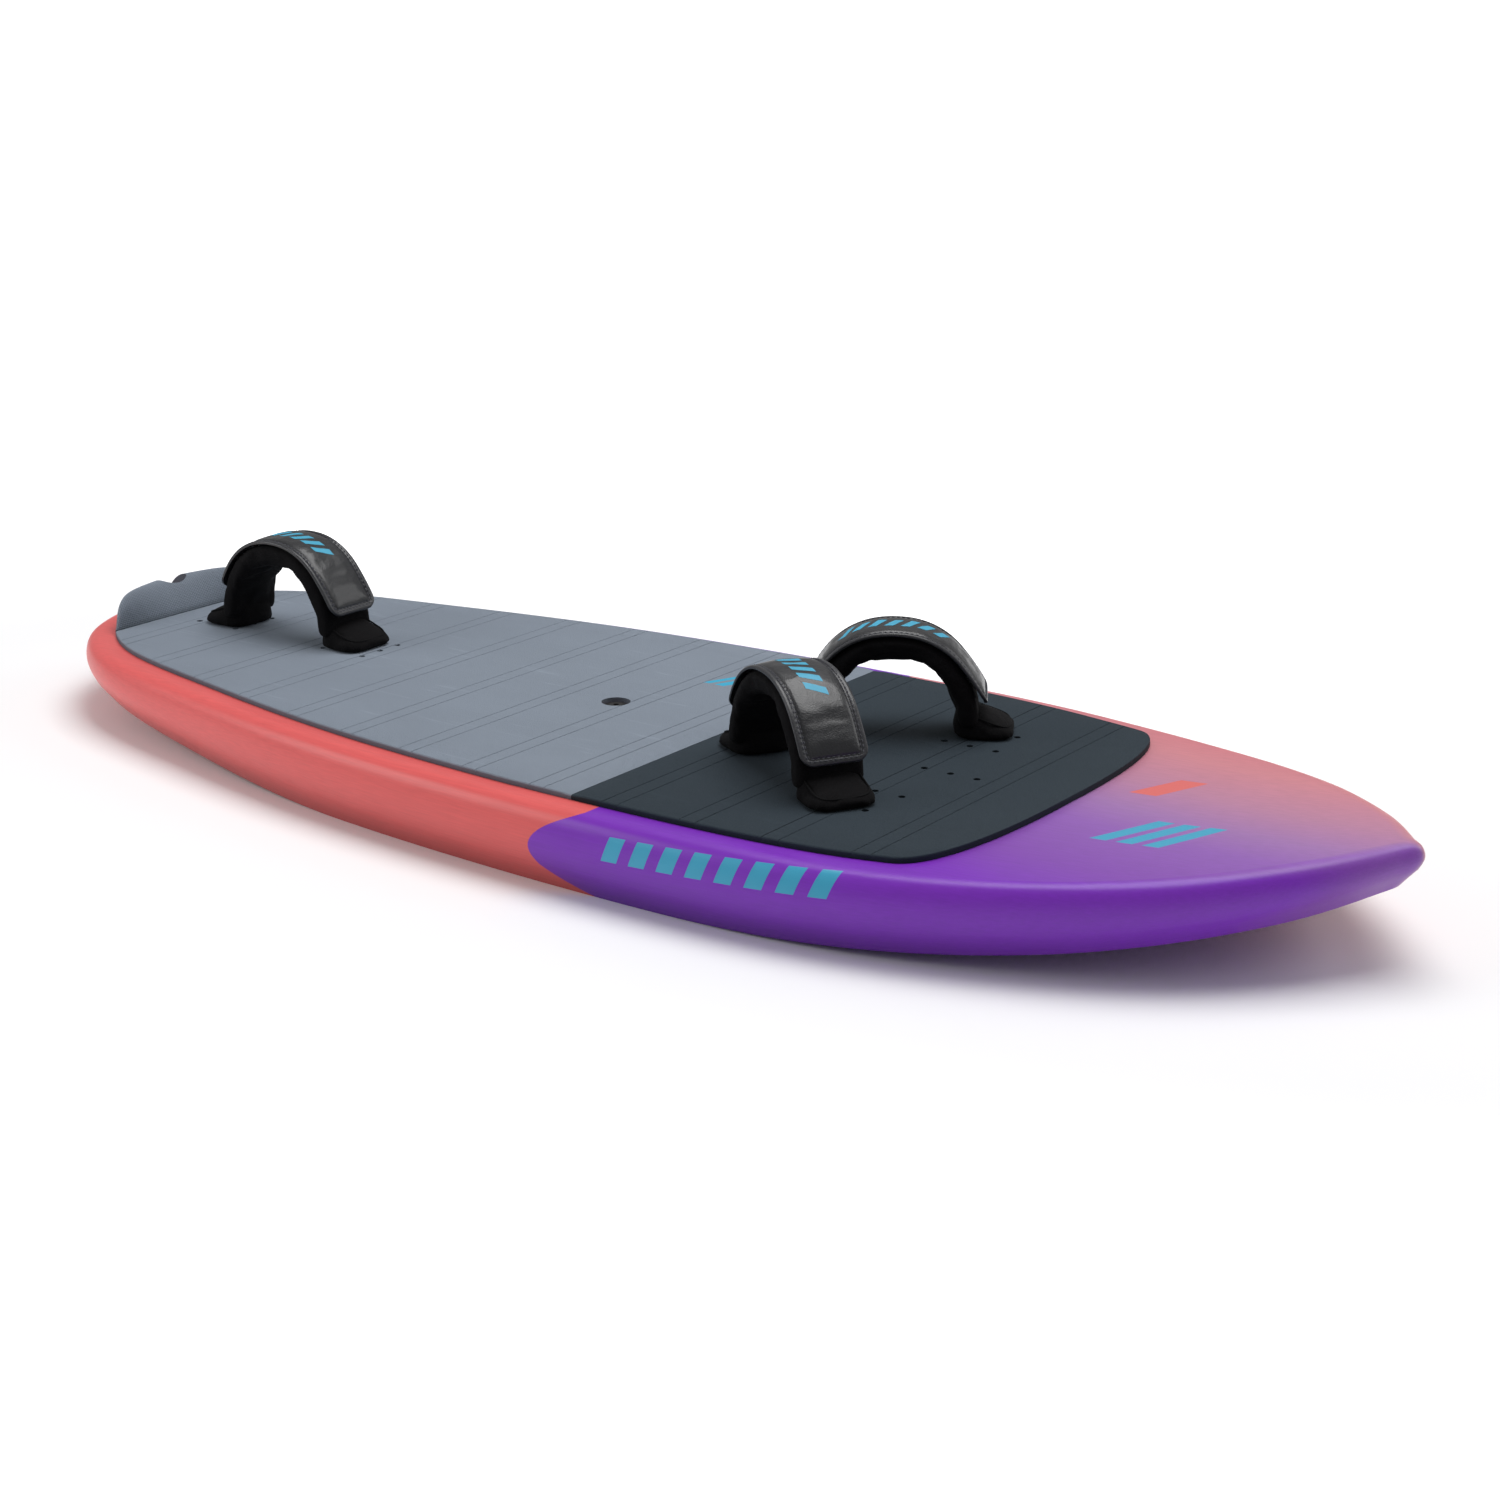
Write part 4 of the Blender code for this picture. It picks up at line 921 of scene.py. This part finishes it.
def placed_copy(source, name, matrix):
    """A copy of a mesh moved into the row frame, with its object at the origin."""
    mesh = source.data.copy()
    mesh.transform(matrix)
    obj = bpy.data.objects.new(name, mesh)
    bpy.context.scene.collection.objects.link(obj)
    return obj


class Band:
    """The leather cover's outer face, by angle along the arch and distance across."""

    def __init__(self):
        steps = 700
        self.angles = [BAND_START + (BAND_END - BAND_START) * i / steps for i in range(steps + 1)]
        line = [self.base(angle) for angle in self.angles]
        self.lengths = [0.0]
        for before, after in zip(line, line[1:]):
            self.lengths.append(self.lengths[-1] + (after - before).length)
        self.length = self.lengths[-1]

    def base(self, degrees, above=0.0):
        loose = max(0.0, abs(degrees - 90) - 45) / 25
        lift = (0.005 if degrees > 90 else 0.0008) * min(1.0, loose) ** 2
        return arch_point(degrees, BAND_CLEAR + lift + above)

    def angle(self, distance):
        return float(np.interp(distance, self.lengths, self.angles))

    def half_width(self, distance):
        near = min(distance, self.length - distance)
        if near >= BAND_CORNER:
            return BAND_WIDTH / 2
        round_share = (BAND_CORNER - near) / BAND_CORNER
        return BAND_WIDTH / 2 - BAND_CORNER * (1 - math.sqrt(max(0.0, 1 - round_share**2)))

    def edge_distance(self, distance, across):
        return min(self.half_width(distance) - abs(across), distance, self.length - distance)

    def thickness(self, distance, across):
        insets, thicknesses = zip(*COVER_THICKNESS)
        return float(np.interp(self.edge_distance(distance, across), insets, thicknesses))

    def wrinkle(self, distance, across, seed):
        """Small cross folds that die away towards the sewn edge."""
        calm = min(1.0, max(0.0, (self.edge_distance(distance, across) - 0.007) / 0.008))
        wave = noise.noise(Vector((distance * 75 + seed, across * 26, seed)))
        fine = noise.noise(Vector((distance * 190, across * 60 + seed, 4.0 + seed)))
        return calm * (0.0009 * wave + 0.0004 * fine)

    def surface(self, distance, across, seed=0.0, above=0.0):
        degrees = self.angle(distance)
        thick = self.thickness(distance, across) + self.wrinkle(distance, across, seed)
        point = self.base(degrees, thick + above)
        return Vector((point.x, across, point.z))


BAND = Band()


def band_stations():
    near = [0.0, 0.0004, 0.0012, 0.0024, 0.0038, 0.0050, 0.0058, 0.0068, 0.0078, 0.0092, 0.0110]
    middle = np.linspace(0.0125, BAND.length - 0.0125, 92).tolist()
    return near + middle + [BAND.length - d for d in reversed(near)]


def band_shape(seed):
    """The leather cover: rounded tips, bound edges and a padded, lightly creased middle."""
    insets = (0.0, 0.0004, 0.0012, 0.0026, 0.0040, 0.0050, 0.0058, 0.0068, 0.0078, 0.0095)
    inner = 18
    rings, bound = [], []
    for distance in band_stations():
        half = max(BAND.half_width(distance), 0.010)
        sides = [-half + inset for inset in insets]
        flat = half - insets[-1]
        middle = [flat * (2 * i / inner - 1) for i in range(1, inner)]
        across = sides + middle + [-v for v in reversed(sides)]
        top = [BAND.surface(distance, v, seed) for v in across]
        degrees = BAND.angle(distance)
        lower = BAND.base(degrees)
        under_places = (half - 0.0004, half * 0.5, 0.0, -half * 0.5, -half + 0.0004)
        under = [Vector((lower.x, v, lower.z)) for v in under_places]
        rings.append(top + under)
        flags = []
        for a, b in zip(across, across[1:]):
            edge = min(half - abs((a + b) / 2), distance, BAND.length - distance)
            flags.append(1 if edge < BINDING_WIDTH else 0)
        bound.append(flags + [0] * len(under) + [0])
    points, faces = loft(rings)
    face_mats = [flag for flags in bound[:-1] for flag in flags]
    return points, faces, face_mats + [1, 1]


def stitch(start, end, up, radius=0.00042):
    """One short raised thread between two points."""
    along = (end - start).normalized()
    side = along.cross(up).normalized()
    spokes = [side * math.cos(t) + up * math.sin(t) for t in (0, 1.05, 2.09, 3.14, 4.19, 5.24)]
    rings = []
    for share, size, lift in STITCH_FORM:
        centre = start.lerp(end, share) + up * radius * lift
        rings.append([centre + spoke * radius * size for spoke in spokes])
    return loft(rings)


def seam(path, length=0.0030, gap=0.0014):
    """Stitches along a path of (point, outward direction)."""
    lengths = [0.0]
    for (before, _), (after, _) in zip(path, path[1:]):
        lengths.append(lengths[-1] + (after - before).length)

    def at(distance):
        points = [float(np.interp(distance, lengths, [p[axis] for p, _ in path])) for axis in range(3)]
        ups = [float(np.interp(distance, lengths, [n[axis] for _, n in path])) for axis in range(3)]
        return Vector(points), Vector(ups).normalized()

    shapes, distance = [], gap
    while distance + length < lengths[-1]:
        (start, up), (end, _) = at(distance), at(distance + length)
        shapes.append(stitch(start, end, up))
        distance += length + gap
    return shapes


def band_path(inset, seed):
    """The closed run of a seam at a distance in from the band's edge, as (point, outward)."""
    stops = np.linspace(inset, BAND.length - inset, 110).tolist()
    right = [(d, -(BAND.half_width(d) - inset)) for d in stops]
    plan = right + [(d, -w) for d, w in reversed(right)]
    plan.append(plan[0])
    path = []
    for distance, across in plan:
        point = BAND.surface(distance, across, seed)
        degrees = BAND.angle(distance)
        outward = (BAND.base(degrees, 0.01) - BAND.base(degrees)).normalized()
        path.append((point, outward))
    return path


def print_bars(seed):
    """Slanted bars that lie on the leather like a screen print."""
    slant, rows, columns = 0.5, 6, 5
    shapes = []
    for number in range(BAR_COUNT):
        start = BAR_START + BAR_PITCH * number
        points, faces = [], []
        for row in range(rows + 1):
            across = BAR_HALF_ACROSS * (2 * row / rows - 1)
            for column in range(columns + 1):
                distance = start + BAR_WIDTH * column / columns + slant * across
                points.append(BAND.surface(distance, across, seed, 0.00012))
        size = columns + 1
        for row in range(rows):
            for column in range(columns):
                a = row * size + column
                faces.append([a, a + 1, a + size + 1, a + size])
        shapes.append((points, faces))
    return joined(shapes)


def piping(path, radius, segments=8):
    """A round cord along a closed path of (point, outward)."""
    rings = []
    for i, (point, up) in enumerate(path):
        ahead, behind = path[(i + 1) % len(path)][0], path[i - 1][0]
        along = (ahead - behind).normalized()
        side = along.cross(up).normalized()
        turns = [2 * math.pi * k / segments for k in range(segments)]
        rings.append([point + (side * math.cos(t) + up * math.sin(t)) * radius for t in turns])
    rings.append(rings[0])
    return loft(rings, closed_ends=False)


def foot_seam_path():
    """The overlocked seam round a foot cover's top panel."""
    points, _ = foot_shape()
    first = round(FOOT_SEAM_SHARE * FOOT_ROWS) * FOOT_SEGMENTS
    return [(Vector(point), Vector((0, 0, 1))) for point in points[first : first + FOOT_SEGMENTS]]


def sleeve_held(place):
    """Held at the feet, partly held on the outside under the cover, and free on the inside."""
    if place[2] < 0.020:
        return 1.0
    return 0.6 if arch_height(place) > -0.001 else 0.0


def foot_held(place):
    return 1.0 if place[2] < 0.002 else 0.0


def build_padding(name, matrix, sleeve, foot, mats):
    """A strap's sleeve and its two boots with their seams."""
    pieces = [placed_copy(sleeve, f"{name}_padded_sleeve", matrix)]
    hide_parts(f"{name}_sleeve")
    for end, turn in (("front", 0.0), ("rear", math.pi)):
        around = matrix @ Matrix.Rotation(turn, 4, "Z")
        boot = placed_copy(foot, f"{name}_boot_{end}", around)
        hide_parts(f"{name}_foot_{end}")
        cord = new_object(f"{name}_boot_seam_{end}", *piping(foot_seam_path(), 0.0008), [mats["seam"]])
        cord.data.transform(around)
        pieces += [boot, cord]
    for piece in pieces:
        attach(piece, "board")


def build_cover(name, matrix, seed, mats):
    """A strap's leather cover with its stitching and print."""
    points, faces, face_mats = band_shape(seed)
    band = new_object(f"{name}_leather", points, faces, [mats["leather"], mats["binding"]], 60.0, face_mats)
    stitches = joined(shape for inset in SEAM_INSETS for shape in seam(band_path(inset, seed)))
    pieces = [
        band,
        new_object(f"{name}_stitching", *stitches, [mats["thread"]]),
        new_object(f"{name}_print", *print_bars(seed), [mats["print"]]),
    ]
    for piece in pieces:
        piece.data.transform(matrix)
    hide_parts(f"{name}_cover", f"{name}_flap")
    for piece in pieces:
        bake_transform(piece)


def build_straps(mats):
    sleeve = new_object("sleeve_form", *sleeve_shape(), [mats["neoprene"]])
    fill(sleeve, 0.0035, sleeve_held)
    foot = new_object("foot_form", *foot_shape(), [mats["neoprene"]])
    fill(foot, 0.0025, foot_held, voxel=0.0035, growth=-0.03, seed=3)
    for number, (name, centre, heading, stretch) in enumerate(STRAPS):
        matrix = in_strap_frame(centre, heading, stretch)
        build_padding(name, matrix, sleeve, foot, mats)
        build_cover(name, matrix, 3.7 * number, mats)
    for form in (sleeve, foot):
        bpy.data.objects.remove(form, do_unlink=True)


# ---------------------------------------------------------------- hardware, studio and the whole


def finish_hardware(mats):
    """Better materials for the CAD nodes whose shape stays."""
    looks = (
        ("foam_core", "core"),
        ("track_block", "core"),
        ("insert_block_", "plastic"),
        ("foil_track_", "plastic"),
        ("track_nut_", "brass"),
        ("vent_body", "plastic"),
        ("vent_screw", "plastic"),
        ("vent_oring", "rubber"),
    )
    endings = (("_webbing", "webbing"), ("_front", "steel"), ("_rear", "steel"))
    for name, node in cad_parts.items():
        look = next((mat for start, mat in looks if name.startswith(start)), None)
        if look is None:
            look = next((mat for end, mat in endings if name.endswith(end)), None)
        if look is None:
            continue
        for slot in node.material_slots:
            slot.material = mats[look]
        if name.startswith(("vent_", "foil_track_", "track_nut_")):
            soften(node, 0.0003, 2)


def build_backdrop(scene):
    """A backdrop that looks white, and lights the board less than it looks."""
    world = bpy.data.worlds.new("studio")
    scene.world = world
    world.use_nodes = True
    tree = world.node_tree
    backdrop = tree.nodes["Background"]
    backdrop.inputs["Color"].default_value = (1.0, 1.0, 1.0, 1.0)
    path = tree.nodes.new("ShaderNodeLightPath")
    strength = tree.nodes.new("ShaderNodeMapRange")
    strength.inputs["To Min"].default_value = 0.30
    strength.inputs["To Max"].default_value = 1.05
    tree.links.new(path.outputs["Is Camera Ray"], strength.inputs["Value"])
    tree.links.new(strength.outputs[0], backdrop.inputs["Strength"])


def build_floor():
    """A pale floor that brightens to the backdrop's white away from the board."""
    corners = [(-40, -40, 0), (40, -40, 0), (40, 40, 0), (-40, 40, 0)]
    floor = new_object("floor", corners, [[0, 1, 2, 3]], [])
    s = Shader("floor_paint", "FFFFFF", 0.9)
    s.set("Base Color", s.shade(linear("FBFBFC"), s.noise(3.0), 0.995, 1.005))
    s.bump((s.noise(200.0), 0.00002))
    x, y, _ = s.split()
    along, across = s.calc("DIVIDE", x, 0.72), s.calc("DIVIDE", y, 0.30)
    away = s.calc("SQRT", s.calc("MULTIPLY_ADD", along, along, s.calc("MULTIPLY", across, across)))
    glow = s.step(away, 1.2, 2.6)
    seen = s.node("ShaderNodeLightPath").outputs["Is Camera Ray"]
    s.set("Emission Color", (1.0, 1.0, 1.0, 1.0))
    s.set("Emission Strength", s.calc("MULTIPLY", glow, seen))
    floor.data.materials.append(s.mat)


def build_lamps(scene):
    # Name, place, target, width, height and power in watts
    lamps = (
        ("overhead", (0.2, 0.5, 2.6), (0.0, 0.0, 0.0), 2.4, 1.8, 58.0),
        ("left_wall", (-2.2, -1.8, 1.3), (-0.1, 0.0, 0.1), 1.6, 1.4, 24.0),
        ("right_back", (1.8, 2.2, 1.6), (0.1, 0.0, 0.1), 1.4, 1.4, 12.0),
    )
    for name, place, target, size_x, size_y, power in lamps:
        light = bpy.data.lights.new(name, "AREA")
        light.shape = "RECTANGLE"
        light.size = size_x
        light.size_y = size_y
        light.energy = power
        lamp = bpy.data.objects.new(name, light)
        lamp.location = place
        lamp.rotation_euler = (Vector(target) - Vector(place)).to_track_quat("-Z", "Y").to_euler()
        scene.collection.objects.link(lamp)


def build_camera(scene):
    camera_data = bpy.data.cameras.new("camera")
    camera_data.sensor_width = 36.0
    camera_data.lens = 63.56
    camera = bpy.data.objects.new("camera", camera_data)
    camera.location = (1.342915, -1.74381, 0.7479325)
    camera.rotation_euler = (math.pi / 2 - 0.3105, 0.0, 0.6254)
    scene.collection.objects.link(camera)
    scene.camera = camera


def build_studio():
    scene = bpy.context.scene
    scene.view_settings.view_transform = "Standard"
    build_backdrop(scene)
    build_floor()
    build_lamps(scene)
    build_camera(scene)


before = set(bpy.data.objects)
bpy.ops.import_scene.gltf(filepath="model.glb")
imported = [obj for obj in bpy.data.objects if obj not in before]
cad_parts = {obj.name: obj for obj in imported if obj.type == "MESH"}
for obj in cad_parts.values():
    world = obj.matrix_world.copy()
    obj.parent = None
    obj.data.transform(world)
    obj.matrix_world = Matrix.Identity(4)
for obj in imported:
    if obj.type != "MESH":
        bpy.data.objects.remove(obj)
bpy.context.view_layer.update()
light_pad_marks = (((-0.008, 0.118), (0.0050, 0.024)), ((-0.022, 0.118), (0.0035, 0.024)))
materials = {
    "lacquer": lacquer(),
    "light_foam": foam("light_foam", LIGHT_FOAM, 0.14, marks=light_pad_marks),
    "dark_foam": foam("dark_foam", DARK_FOAM, 0.22),
    "kick_foam": foam("kick_foam", LIGHT_FOAM, 0.12, 0.0005),
    "neoprene": neoprene(),
    "seam": woven("boot_seam", "070709"),
    "leather": leather("cover_leather", "18191D", 0.36, 0.0011),
    "binding": leather("cover_binding", "232429", 0.40, 0.0003),
    "thread": plain("cover_thread", "4A4B53", 0.6, grain=2500.0, depth=0.0002),
    "print": plain("cover_print", TEAL, 0.5, grain=900.0, depth=0.0001),
    "webbing": woven("strap_webbing", "16161A"),
    "core": plain("core_foam", "DDD8C4", 0.9, grain=900.0, depth=0.0003),
    "plastic": plain("moulded_plastic", "141416", 0.48),
    "rubber": plain("seal_rubber", "101011", 0.75),
    "brass": plain("nut_brass", "B08A45", 0.35, 1.0),
    "steel": plain("screw_steel", "9A9CA0", 0.35, 1.0),
}
build_hull(materials)
build_pads(materials)
build_straps(materials)
finish_hardware(materials)
build_studio()
